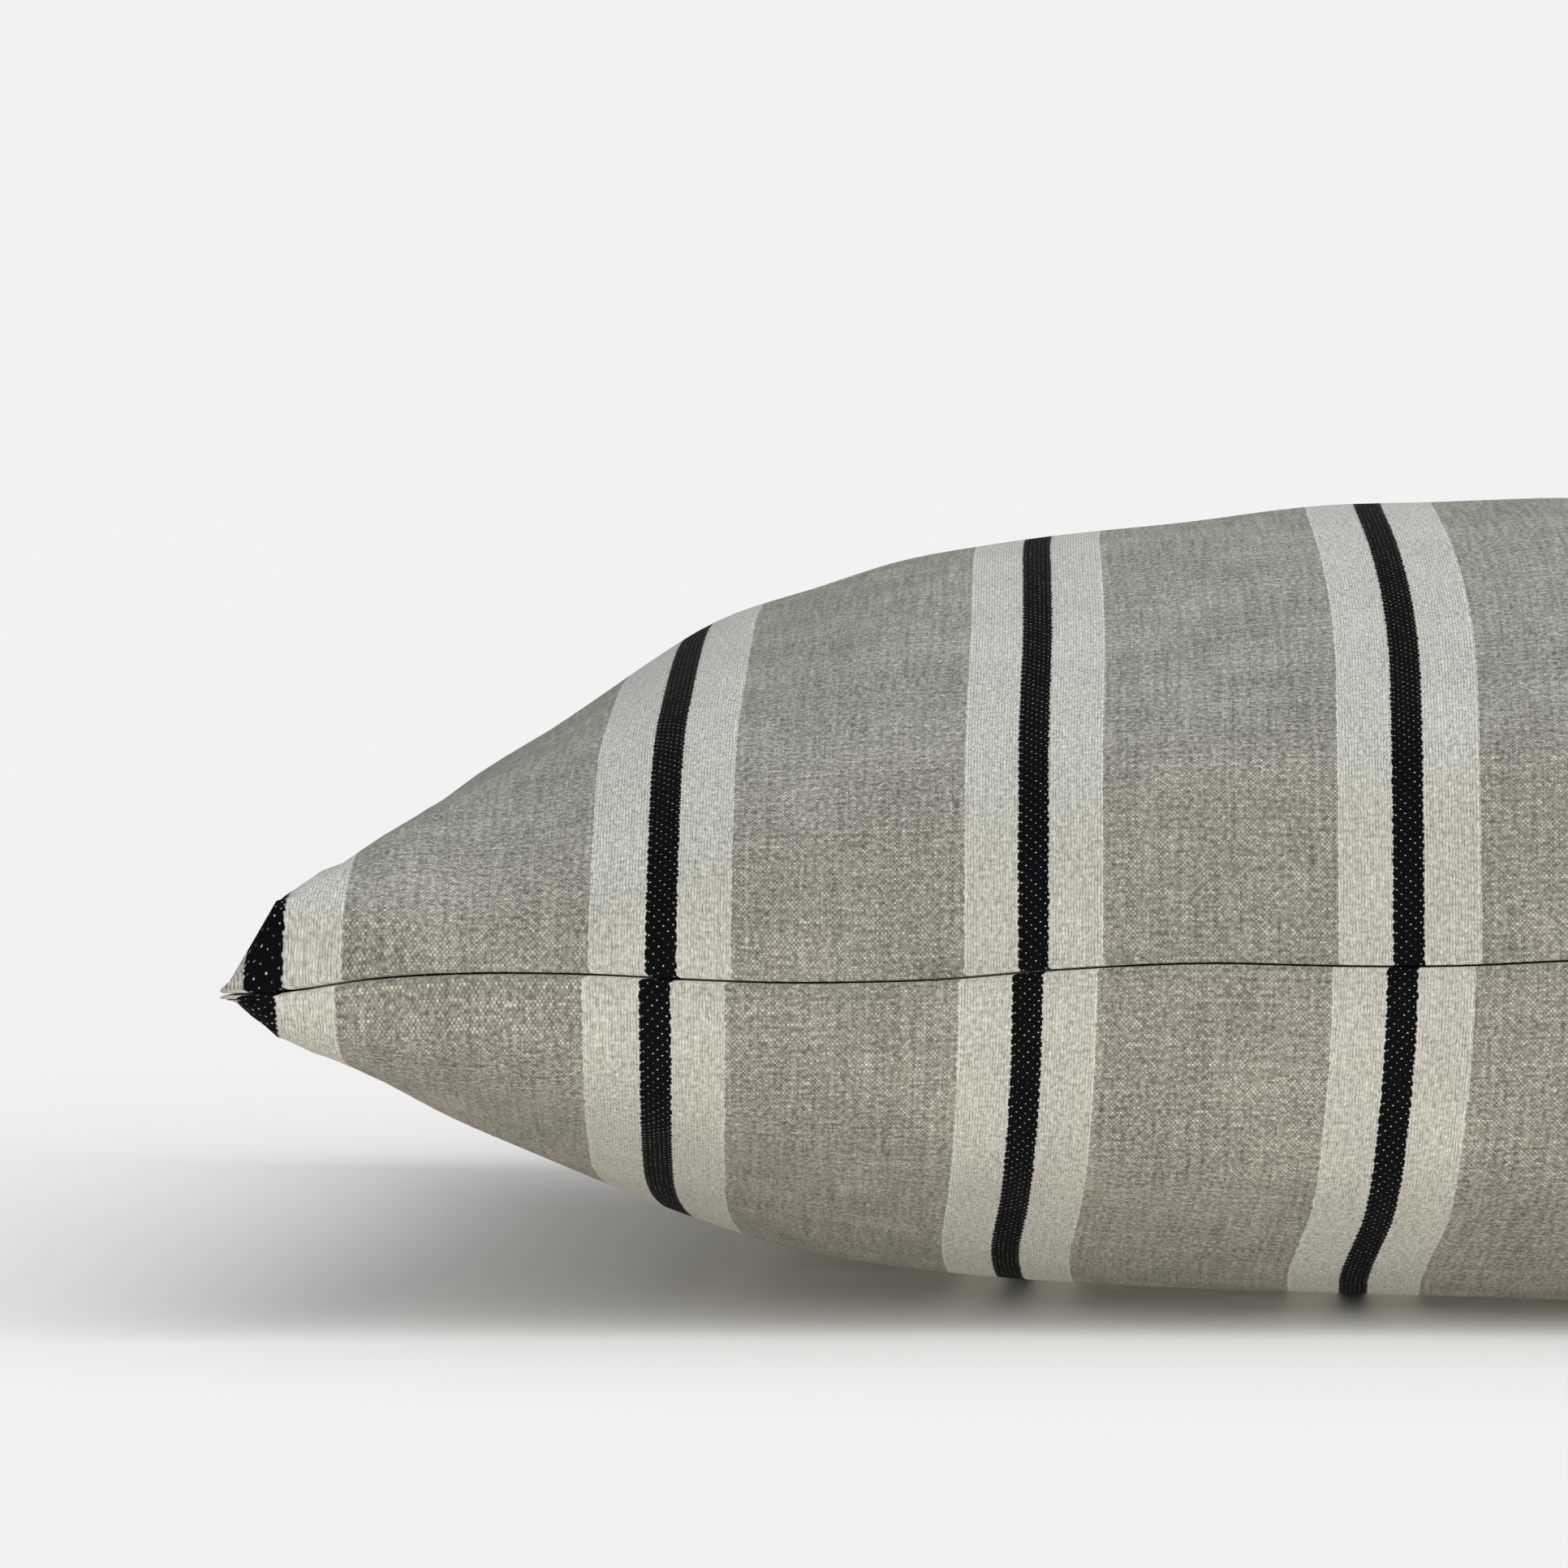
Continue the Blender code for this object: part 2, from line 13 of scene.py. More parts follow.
import bmesh
import bpy
import numpy as np
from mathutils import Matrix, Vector

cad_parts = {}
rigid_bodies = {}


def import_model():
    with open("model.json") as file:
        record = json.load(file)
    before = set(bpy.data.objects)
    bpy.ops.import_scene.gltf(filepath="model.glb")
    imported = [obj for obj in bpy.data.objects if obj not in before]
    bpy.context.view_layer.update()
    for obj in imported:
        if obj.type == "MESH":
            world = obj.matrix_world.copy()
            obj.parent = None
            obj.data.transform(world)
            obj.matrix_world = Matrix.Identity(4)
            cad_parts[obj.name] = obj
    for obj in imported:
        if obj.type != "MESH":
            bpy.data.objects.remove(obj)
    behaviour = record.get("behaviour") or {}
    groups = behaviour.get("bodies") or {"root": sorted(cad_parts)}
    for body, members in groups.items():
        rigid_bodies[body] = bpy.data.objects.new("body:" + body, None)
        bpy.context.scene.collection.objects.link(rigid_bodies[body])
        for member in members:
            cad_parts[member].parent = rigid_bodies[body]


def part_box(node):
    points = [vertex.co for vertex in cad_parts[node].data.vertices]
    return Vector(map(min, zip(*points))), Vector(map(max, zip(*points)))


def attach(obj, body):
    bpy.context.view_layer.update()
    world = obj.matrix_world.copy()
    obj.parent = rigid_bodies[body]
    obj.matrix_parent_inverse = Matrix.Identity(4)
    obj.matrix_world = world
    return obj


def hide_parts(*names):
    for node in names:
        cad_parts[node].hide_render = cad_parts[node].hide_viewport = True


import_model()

LOG = logging.getLogger("throw_pillow")
CUT = "Cut"  # the mesh attribute that holds a point's place on the flat, uncut cloth, in millimetres
MM = 1000.0
PICK = 0.46  # from one weft thread to the next in the stripes, in millimetres

Colour = tuple[float, float, float]
Span = tuple[float, float]  # a lowest and a highest value
Table = tuple[tuple[float, float], ...]  # (x, height) points, in millimetres


# ---------------------------------------------------------------------------------------------------
# Node graphs
# ---------------------------------------------------------------------------------------------------


@dataclass(frozen=True, eq=False)
class Wire:
    """A node's output, on which arithmetic can be written: each operation adds a Math node."""

    tree: bpy.types.NodeTree
    socket: bpy.types.NodeSocket

    def math(self, operation: str, *others: "Wire | float") -> "Wire":
        """Adds a Math node.

        Args:
            operation: its operation, as Blender names it.
            others: the operands after this one.

        Returns:
            The node's output.
        """
        node = self.tree.nodes.new("ShaderNodeMath")
        node.operation = operation
        for target, value in zip(node.inputs, (self, *others)):
            plug(self.tree, value, target)
        return Wire(self.tree, node.outputs[0])

    def __add__(self, other: "Wire | float") -> "Wire":
        """The sum."""
        return self.math("ADD", other)

    def __sub__(self, other: "Wire | float") -> "Wire":
        """The difference."""
        return self.math("SUBTRACT", other)

    def __mul__(self, other: "Wire | float") -> "Wire":
        """The product."""
        return self.math("MULTIPLY", other)

    def __truediv__(self, other: "Wire | float") -> "Wire":
        """The quotient."""
        return self.math("DIVIDE", other)

    def __abs__(self) -> "Wire":
        """The size without its sign."""
        return self.math("ABSOLUTE")

    def floor(self) -> "Wire":
        """The whole number at or below."""
        return self.math("FLOOR")

    def part(self) -> "Wire":
        """What is left above the whole number, less a half: from -0.5 to 0.5, and 0 in a cell's middle."""
        return self - self.floor() - 0.5

    def wrap(self, period: "Wire | float") -> "Wire":
        """The remainder, which is never negative."""
        return self.math("FLOORED_MODULO", period)

    def flip(self) -> "Wire":
        """One less this."""
        return self * -1.0 + 1.0

    def span(self, low: float, high: float) -> "Wire":
        """From low to high, and past them, as this goes from 0 to 1."""
        return self * (high - low) + low

    def ramp(self, low: float, high: float, smooth: bool = False) -> "Wire":
        """Rises from 0 at low to 1 at high; with low above high, it falls.

        Args:
            low: the value that gives 0.
            high: the value that gives 1.
            smooth: whether it eases in and out.

        Returns:
            The clamped share.
        """
        node = self.tree.nodes.new("ShaderNodeMapRange")
        node.interpolation_type = "SMOOTHSTEP" if smooth else "LINEAR"
        plug(self.tree, self, node.inputs["Value"])
        node.inputs["From Min"].default_value = min(low, high)
        node.inputs["From Max"].default_value = max(low, high)
        rising = low <= high
        node.inputs["To Min"].default_value = 0.0 if rising else 1.0
        node.inputs["To Max"].default_value = 1.0 if rising else 0.0
        return Wire(self.tree, node.outputs["Result"])


def plug(tree: bpy.types.NodeTree, value: object, target: bpy.types.NodeSocket) -> None:
    """Links a wire to an input, or sets the input to a plain value."""
    if isinstance(value, Wire):
        tree.links.new(value.socket, target)
    else:
        target.default_value = value


def vector(tree: bpy.types.NodeTree, x: "Wire | float", y: "Wire | float", z: "Wire | float" = 0.0) -> Wire:
    """A vector from three wires or numbers."""
    node = tree.nodes.new("ShaderNodeCombineXYZ")
    for target, value in zip(node.inputs, (x, y, z)):
        plug(tree, value, target)
    return Wire(tree, node.outputs[0])


def noise(place: Wire, scale: float = 1.0, detail: float = 2.0, rough: float = 0.5) -> Wire:
    """Smooth noise from 0 to 1 at a place.

    Args:
        place: the coordinates.
        scale: how many bumps a unit holds.
        detail: how many finer octaves are added.
        rough: how strong the finer ones are.

    Returns:
        The noise, which stays mostly between 0.3 and 0.7.
    """
    node = place.tree.nodes.new("ShaderNodeTexNoise")
    node.noise_dimensions = "3D"
    plug(place.tree, place, node.inputs["Vector"])
    node.inputs["Scale"].default_value = scale
    node.inputs["Detail"].default_value = detail
    node.inputs["Roughness"].default_value = rough
    return Wire(place.tree, node.outputs["Fac"])


def chance(place: Wire) -> Wire:
    """An unrelated number from 0 to 1 for each different place."""
    node = place.tree.nodes.new("ShaderNodeTexWhiteNoise")
    node.noise_dimensions = "3D"
    plug(place.tree, place, node.inputs["Vector"])
    return Wire(place.tree, node.outputs["Value"])


def mix(share: "Wire | float", low: "Wire | Colour", high: "Wire | Colour", tree: bpy.types.NodeTree) -> Wire:
    """A colour between two colours.

    Args:
        share: 0 for the low one, 1 for the high one.
        low: a wire, or a plain colour.
        high: a wire, or a plain colour.
        tree: the tree the node goes in.

    Returns:
        The mixed colour.
    """
    node = tree.nodes.new("ShaderNodeMix")
    node.data_type = "RGBA"
    plug(tree, share, node.inputs["Factor"])
    for name, value in (("A", low), ("B", high)):
        target = next(s for s in node.inputs if s.name == name and s.type == "RGBA")
        plug(tree, value if isinstance(value, Wire) else (*value, 1.0), target)
    return Wire(tree, next(s for s in node.outputs if s.type == "RGBA"))


def tinted(colour: "Wire | Colour", factor: Wire) -> Wire:
    """A colour made lighter or darker by a factor."""
    node = factor.tree.nodes.new("ShaderNodeVectorMath")
    node.operation = "SCALE"
    plug(factor.tree, colour, node.inputs[0])
    plug(factor.tree, factor, node.inputs["Scale"])
    return Wire(factor.tree, node.outputs[0])


def washed(colour: Wire, wash: Colour) -> Wire:
    """A colour multiplied by another."""
    node = colour.tree.nodes.new("ShaderNodeVectorMath")
    node.operation = "MULTIPLY"
    plug(colour.tree, colour, node.inputs[0])
    node.inputs[1].default_value = wash
    return Wire(colour.tree, node.outputs[0])


@dataclass
class Effect:
    """A shader node group: made once, then placed in each material that shows it, with its own values."""

    name: str

    def __post_init__(self) -> None:
        """Makes the group, with nothing in it yet."""
        self.tree = bpy.data.node_groups.new(self.name, "ShaderNodeTree")
        self.entry = self.tree.nodes.new("NodeGroupInput")
        self.exit = self.tree.nodes.new("NodeGroupOutput")

    def given(self, name: str, default: float = 0.0) -> Wire:
        """Adds an input and returns it for use inside."""
        socket = self.tree.interface.new_socket(name=name, in_out="INPUT", socket_type="NodeSocketFloat")
        socket.default_value = default
        return Wire(self.tree, self.entry.outputs[name])

    def gives(self, name: str, wire: Wire) -> None:
        """Adds an output that carries a value."""
        self.tree.interface.new_socket(name=name, in_out="OUTPUT", socket_type="NodeSocketFloat")
        self.tree.links.new(wire.socket, self.exit.inputs[name])

    def place(self, tree: bpy.types.NodeTree, **values: "Wire | float") -> dict[str, Wire]:
        """Puts the group in a material.

        Args:
            tree: the material's tree.
            values: a wire or number for each input, by its name with _ for each space.

        Returns:
            Its outputs by name.
        """
        node = tree.nodes.new("ShaderNodeGroup")
        node.node_tree = self.tree
        for name, value in values.items():
            plug(tree, value, node.inputs[name.replace("_", " ")])
        return {socket.name: Wire(tree, socket) for socket in node.outputs}


# ---------------------------------------------------------------------------------------------------
# Effects that the cloths share
# ---------------------------------------------------------------------------------------------------


def plain_weave() -> Effect:
    """Warp and weft that pass over and under each other by turns."""
    group = Effect("Plain weave")
    across, along = group.given("Across"), group.given("Along")
    a, b = across / group.given("Warp pitch", 0.4), along / group.given("Weft pitch", 0.5)
    ridge_a = (a.part() * math.pi).math("COSINE")
    ridge_b = (b.part() * math.pi).math("COSINE")
    over = (a.floor() + b.floor()).wrap(2.0) * 2.0 - 1.0
    warp = ridge_a * (over * ridge_b * 0.5 + 0.5)
    weft = ridge_b * (over * ridge_a * -0.5 + 0.5)
    group.gives("Height", warp.math("MAXIMUM", weft))
    group.gives("Weft on top", (weft - warp).ramp(-0.12, 0.12))
    tree = group.tree
    slub = noise(vector(tree, a.floor() * 7.3, along * 0.05, 2.0), 1.0, 1.0)
    group.gives("Warp tone", slub.ramp(0.3, 0.7) + chance(vector(tree, a.floor(), 5.0)) * 0.6 - 0.3)
    slub = noise(vector(tree, across * 0.06, b.floor() * 7.7, 9.0), 1.0, 1.0)
    group.gives("Weft tone", slub.ramp(0.3, 0.7) + chance(vector(tree, b.floor(), 8.0)) * 0.6 - 0.3)
    group.gives("Dash tone", chance(vector(tree, (a * 0.5 + b.floor() * 0.37).floor(), b.floor(), 5.0)))
    return group


def warp_floats() -> Effect:
    """Soft warp yarns that float over several picks, crowd together and part here and there."""
    group = Effect("Warp floats")
    across, along = group.given("Across"), group.given("Along")
    pitch, length = group.given("Yarn pitch", 0.55), group.given("Float length", 2.4)
    tree = group.tree
    wander = noise(vector(tree, across * 0.8, along * 0.55), 1.0, 2.0) - 0.5
    a = (across + wander * 0.9) / pitch
    yarn = a.floor()
    b = along / length + chance(vector(tree, yarn, 3.0))
    ridge = (a.part() * math.pi).math("COSINE").math("POWER", 0.6)
    dip = abs(b.part()).ramp(0.0, 0.10, True)
    pick = ((along / PICK).part() * math.pi).math("COSINE")
    between = (a + 0.5).floor()
    parted = chance(vector(tree, between, (along / 1.3 + chance(vector(tree, between, 7.0))).floor(), 2.0))
    group.gives("Height", ridge * (dip * 0.6 + 0.4) + pick * 0.16)
    # Shaded gap: where yarns part or a float dips under a pick, the colour darkens, partly the beige weft
    # showing and partly painted shade.
    group.gives("Shaded gap", ridge.ramp(0.75, 0.2) * parted.ramp(0.25, 0.9) + dip.flip() * ridge * 0.35)
    group.gives("Yarn tone", chance(vector(tree, yarn, b.floor(), 4.0)))
    return group


def dotted_satin() -> Effect:
    """A smooth black satin through which single pale picks show, as a slanting lattice of dots."""
    group = Effect("Dotted satin")
    across, along = group.given("Across"), group.given("Along")
    column, repeat = group.given("Column pitch", 0.88), group.given("Repeat", 2.27)
    half_width = group.given("Half width", 2.7)
    tree = group.tree
    a = across / column
    b = along / repeat + a.floor() * 0.4
    jitter = chance(vector(tree, a.floor(), b.floor(), 1.0))
    nudge = chance(vector(tree, a.floor(), b.floor(), 6.0)).span(-0.08, 0.08)
    off_a = a.part() * column + nudge
    off_b = b.part() * repeat + nudge * -0.8
    size = jitter.span(0.108, 0.168)
    far = ((off_a / size).math("POWER", 2.0) + (off_b / (size * 0.82)).math("POWER", 2.0)).math("SQRT")
    inside = abs(across).math("LESS_THAN", half_width - 0.25)
    group.gives("Dot", far.ramp(1.25, 0.7, True) * inside)
    group.gives("Dot tone", jitter)
    side = across.math("SIGN") * 0.27
    beat = abs((along / repeat + side).part() * repeat)
    reach = abs(abs(across) - half_width - 0.1)
    group.gives("Tick", beat.ramp(0.30, 0.14) * reach.ramp(0.42, 0.2))
    group.gives("Height", far.ramp(1.3, 0.2, True) * inside)
    return group


def stripe_layout() -> Effect:
    """Where the stripes lie: a black one between two cream ones, over and over across the cloth."""
    group = Effect("Stripe layout")
    across, along = group.given("Across"), group.given("Along")
    repeat = group.given("Repeat", 69.5)
    black, cream = group.given("Half black", 2.7), group.given("Half group", 13.0)
    tree = group.tree
    centre = across.wrap(repeat) - repeat * 0.5
    waver = noise(vector(tree, across.math("SNAP", 4.0) * 3.1, along * 0.35), 1.0, 2.0)
    steps = chance(vector(tree, (along / PICK).floor(), across.math("SNAP", 6.0)))
    away = abs(centre) + waver.span(-0.25, 0.25) + steps.span(-0.13, 0.13)
    is_black = (away - black).ramp(0.06, -0.06)
    group.gives("From centre", centre)
    group.gives("Black", is_black)
    group.gives("Cream", (away - cream).ramp(0.08, -0.08) * is_black.flip())
    group.gives("Selvedge", abs(away - cream + 0.3).ramp(0.4, 0.1))
    return group


def mottling() -> Effect:
    """Broad soft patches, streaks along the warp and fine heather, as washed yarn-dyed cloth has."""
    group = Effect("Mottling")
    across, along = group.given("Across"), group.given("Along")
    tree = group.tree
    place = vector(tree, across, along)
    patches = noise(place, 0.045, 3.0, 0.55).ramp(0.32, 0.68)
    streaks = noise(vector(tree, across * 0.9, along * 0.035, 11.0), 1.0, 2.0).ramp(0.3, 0.7)
    bars = noise(vector(tree, across * 0.04, along * 0.8, 17.0), 1.0, 2.0).ramp(0.3, 0.7)
    fine = noise(place, 1.1, 2.0).ramp(0.3, 0.7)
    group.gives("Patches", patches)
    group.gives("Streaks", streaks * 0.6 + bars * 0.4)
    group.gives("Heather", fine)
    speck = tree.nodes.new("ShaderNodeTexVoronoi")
    speck.voronoi_dimensions = "2D"
    plug(tree, place, speck.inputs["Vector"])
    speck.inputs["Scale"].default_value = 0.045
    group.gives("Slub", Wire(tree, speck.outputs["Distance"]).ramp(0.022, 0.010))
    return group


def grain() -> Effect:
    """Fine and broad unevenness in three directions, for threads, nylon, metal and wadding."""
    group = Effect("Grain")
    place = vector(group.tree, group.given("X"), group.given("Y"), group.given("Z"))
    group.gives("Fine", noise(place, 1.0, 3.0, 0.6).ramp(0.3, 0.7))
    group.gives("Broad", noise(place, 0.13, 2.0).ramp(0.3, 0.7))
    return group


# ---------------------------------------------------------------------------------------------------
# Finishes
# ---------------------------------------------------------------------------------------------------


@dataclass
class Shading:
    """A new material with its Principled shader, to which a finish wires its effects."""

    name: str
    material: bpy.types.Material = field(init=False)

    def __post_init__(self) -> None:
        """Makes the material."""
        self.material = bpy.data.materials.new(self.name)
        self.material.use_nodes = True
        self.tree = self.material.node_tree
        self.shader = self.tree.nodes["Principled BSDF"]

    def constant(self, **values: object) -> None:
        """Sets plain values on the shader's own sockets, by name with _ for each space."""
        for name, value in values.items():
            self.shader.inputs[name.replace("_", " ")].default_value = value

    def wire(self, **wires: Wire) -> None:
        """Links wires to the shader's sockets, by name with _ for each space."""
        for name, wire in wires.items():
            self.tree.links.new(wire.socket, self.shader.inputs[name.replace("_", " ")])

    def bump(self, height: Wire, depth: float, strength: float = 1.0) -> None:
        """Roughens the surface.

        Args:
            height: the relief, from 0 to 1.
            depth: how deep a full step is, in metres.
            strength: how much of it shows.
        """
        node = self.tree.nodes.new("ShaderNodeBump")
        node.inputs["Distance"].default_value = depth
        node.inputs["Strength"].default_value = strength
        self.tree.links.new(height.socket, node.inputs["Height"])
        self.tree.links.new(node.outputs["Normal"], self.shader.inputs["Normal"])

    def edge_on(self) -> Wire:
        """0 where the surface is seen square on, rising to 1 where it is seen edge on."""
        node = self.tree.nodes.new("ShaderNodeLayerWeight")
        node.inputs["Blend"].default_value = 0.5
        return Wire(self.tree, node.outputs["Facing"])

    def parts(self, kind: str, output: str, **settings: str) -> list[Wire]:
        """The X, Y and Z of a new node's output.

        Args:
            kind: the node's type.
            output: the output's name.
            settings: the node's own properties.

        Returns:
            A wire for each.
        """
        node = self.tree.nodes.new(kind)
        for name, value in settings.items():
            setattr(node, name, value)
        split = self.tree.nodes.new("ShaderNodeSeparateXYZ")
        self.tree.links.new(node.outputs[output], split.inputs[0])
        return [Wire(self.tree, socket) for socket in split.outputs]

    def upward(self) -> Wire:
        """How far the surface faces up, from -1 to 1."""
        return self.parts("ShaderNodeNewGeometry", "Normal")[2]

    def place(self) -> list[Wire]:
        """The place on the object, in millimetres."""
        return [part * MM for part in self.parts("ShaderNodeTexCoord", "Object")]

    def lengthwise(self) -> list[Wire]:
        """The place on an upright strip: along it and up it, in millimetres."""
        return self.place()[::2]

    def cut(self) -> list[Wire]:
        """The place on the flat cloth: across the stripes and along them, in millimetres."""
        return self.parts("ShaderNodeAttribute", "Vector", attribute_name=CUT)[:2]


@dataclass(frozen=True)
class Effects:
    """The node groups, made once."""

    weave: Effect
    floats: Effect
    satin: Effect
    stripes: Effect
    mottling: Effect
    grain: Effect

    @classmethod
    def make(cls) -> "Effects":
        """Builds every group."""
        return cls(plain_weave(), warp_floats(), dotted_satin(), stripe_layout(), mottling(), grain())


@dataclass(frozen=True)
class StripedCloth:
    """The cover's yarn-dyed cotton: taupe plain weave, with black and cream warp stripes."""

    stripe_repeat: float = 69.5  # these five in millimetres
    half_black: float = 2.85
    half_group: float = 13.0
    warp_pitch: float = 0.40
    weft_pitch: float = 0.50
    relief: float = 0.00016
    warp: Colour = (0.146, 0.134, 0.107)
    weft: Colour = (0.227, 0.216, 0.182)
    cream: Colour = (0.318, 0.309, 0.266)
    # the colour between the cream yarns: partly the beige weft beneath, partly painted shade
    cream_gap_weft_and_shade: Colour = (0.16, 0.15, 0.122)
    black: Colour = (0.0012, 0.0014, 0.0017)
    dot: Colour = (0.34, 0.34, 0.32)
    painted_sheen: Colour = (1.40, 1.50, 1.62)  # painted sheen: how much lighter and cooler the colour is painted where the cloth faces up and is seen edge on
    warp_shades: Span = (0.83, 1.17)
    weft_shades: Span = (0.85, 1.15)
    dash_shades: Span = (0.62, 1.32)
    dot_shades: Span = (0.35, 1.05)
    selvedge_shades: Span = (1.0, 1.10)
    ground_mottle: tuple[float, ...] = (0.24, 0.24, 0.45, 0.85)  # the least; patches, streaks, heather
    cream_mottle: tuple[float, ...] = (0.62, 0.16, 0.10, 0.55)  # the least; yarns, patches, heather
    cream_stands: float = 0.25
    black_stands: Span = (0.35, 0.95)

    def material(self, effects: Effects) -> bpy.types.Material:
        """Builds the material.

        Args:
            effects: the shared node groups.

        Returns:
            The finished material.
        """
        made = Shading("Striped cotton")
        tree = made.tree
        place = dict(zip(("Across", "Along"), made.cut()))
        layout = effects.stripes.place(
            tree,
            **place,
            Repeat=self.stripe_repeat,
            Half_black=self.half_black,
            Half_group=self.half_group,
        )
        weave = effects.weave.place(
            tree, **place, Warp_pitch=self.warp_pitch, Weft_pitch=self.weft_pitch
        )
        floats = effects.floats.place(tree, **place)
        satin = effects.satin.place(
            tree, Across=layout["From centre"], Along=place["Along"], Half_width=self.half_black
        )
        mottle = effects.mottling.place(tree, **place)

        warp = tinted(self.warp, weave["Warp tone"].span(*self.warp_shades))
        weft = tinted(self.weft, weave["Weft tone"].span(*self.weft_shades))
        weft = tinted(weft, weave["Dash tone"].span(*self.dash_shades))
        ground = mix(weave["Weft on top"], warp, weft, tree)
        least, patches, streaks, heather = self.ground_mottle
        tone = mottle["Patches"] * patches + mottle["Streaks"] * streaks + mottle["Heather"] * heather
        ground = mix(mottle["Slub"], tinted(ground, tone + least), self.dot, tree)

        cream = mix(floats["Shaded gap"], self.cream, self.cream_gap_weft_and_shade, tree)
        least, yarns, patches, heather = self.cream_mottle
        tone = floats["Yarn tone"] * yarns + mottle["Patches"] * patches + mottle["Heather"] * heather
        cream = tinted(cream, tone + least)
        cream = tinted(cream, layout["Selvedge"].span(*self.selvedge_shades))

        dot = tinted(self.dot, satin["Dot tone"].span(*self.dot_shades))
        black = mix(satin["Dot"], self.black, dot, tree)

        colour = mix(layout["Cream"], ground, cream, tree)
        # Painted sheen: cloth that faces up is painted lighter and cooler where it is seen edge on, as light
        # skimming the top would make it.
        painted_sheen_share = made.edge_on().ramp(0.12, 0.85) * made.upward().ramp(0.1, 0.75)
        colour = mix(painted_sheen_share, colour, washed(colour, self.painted_sheen), tree)
        colour = mix(layout["Black"], colour, black, tree)
        colour = mix(satin["Tick"], colour, self.dot, tree)
        made.wire(Base_Color=colour)

        plain = layout["Cream"].flip() * layout["Black"].flip()
        relief = weave["Height"] * plain + (floats["Height"] + self.cream_stands) * layout["Cream"]
        relief = relief + satin["Height"].span(*self.black_stands) * layout["Black"]
        made.bump(relief, self.relief, 0.8)
        made.constant(Roughness=0.92, Specular_IOR_Level=0.05)
        return made.material


@dataclass(frozen=True)
class PlainCloth:
    """A one-colour plain weave: the insert's ticking, or the zip's tape."""

    name: str
    warp: Colour
    weft: Colour
    pitch: Span
    relief: float
    on_cut: bool = True

    def material(self, effects: Effects) -> bpy.types.Material:
        """Builds the material.

        Args:
            effects: the shared node groups.

        Returns:
            The finished material.
        """
        made = Shading(self.name)
        tree = made.tree
        u, v = made.cut() if self.on_cut else made.lengthwise()
        weave = effects.weave.place(
            tree, Across=u, Along=v, Warp_pitch=self.pitch[0], Weft_pitch=self.pitch[1]
        )
        mottle = effects.mottling.place(tree, Across=u, Along=v)
        colour = mix(weave["Weft on top"], self.warp, self.weft, tree)
        colour = tinted(colour, weave["Warp tone"] * 0.08 + mottle["Patches"] * 0.08 + 0.88)
        made.wire(Base_Color=colour)
        made.bump(weave["Height"], self.relief)
        made.constant(Roughness=0.9, Specular_IOR_Level=0.25, Sheen_Weight=0.1, Sheen_Roughness=0.5)
        return made.material


@dataclass(frozen=True)
class Fine:
    """A finish with an even colour and a fine grain: thread, nylon, zinc or wadding.

    Attributes:
        name: the material's name.
        colour: its main colour.
        shade: the colour painted in its hollows as shade, where the fine grain's relief is low.
        rough: its lowest and its highest roughness.
        scale: how many grains a millimetre holds, along the piece and across it.
        relief: how deep the grain is, in metres.
        metallic: 1 for metal.
        sheen: how much soft sheen its fibres give it.
        clear: how much light gets under its surface.
    """

    name: str
    colour: Colour
    shade: Colour
    rough: Span
    scale: Span
    relief: float
    metallic: float = 0.0
    sheen: float = 0.0
    clear: float = 0.0

    def material(self, effects: Effects) -> bpy.types.Material:
        """Builds the material.

        Args:
            effects: the shared node groups.

        Returns:
            The finished material.
        """
        made = Shading(self.name)
        tree = made.tree
        x, y, z = made.place()
        along, across = self.scale
        grain = effects.grain.place(tree, X=x * along, Y=y * across, Z=z * across)
        # Painted shade: the colour darkens towards the shade colour where the fine grain, which also gives
        # the relief, is low.
        made.wire(
            Base_Color=mix(grain["Fine"], self.shade, self.colour, tree),
            Roughness=grain["Broad"].span(*self.rough),
        )
        made.bump(grain["Fine"], self.relief)
        made.constant(
            Metallic=self.metallic,
            Sheen_Weight=self.sheen,
            Subsurface_Weight=self.clear,
            Subsurface_Scale=0.001,
        )
        return made.material


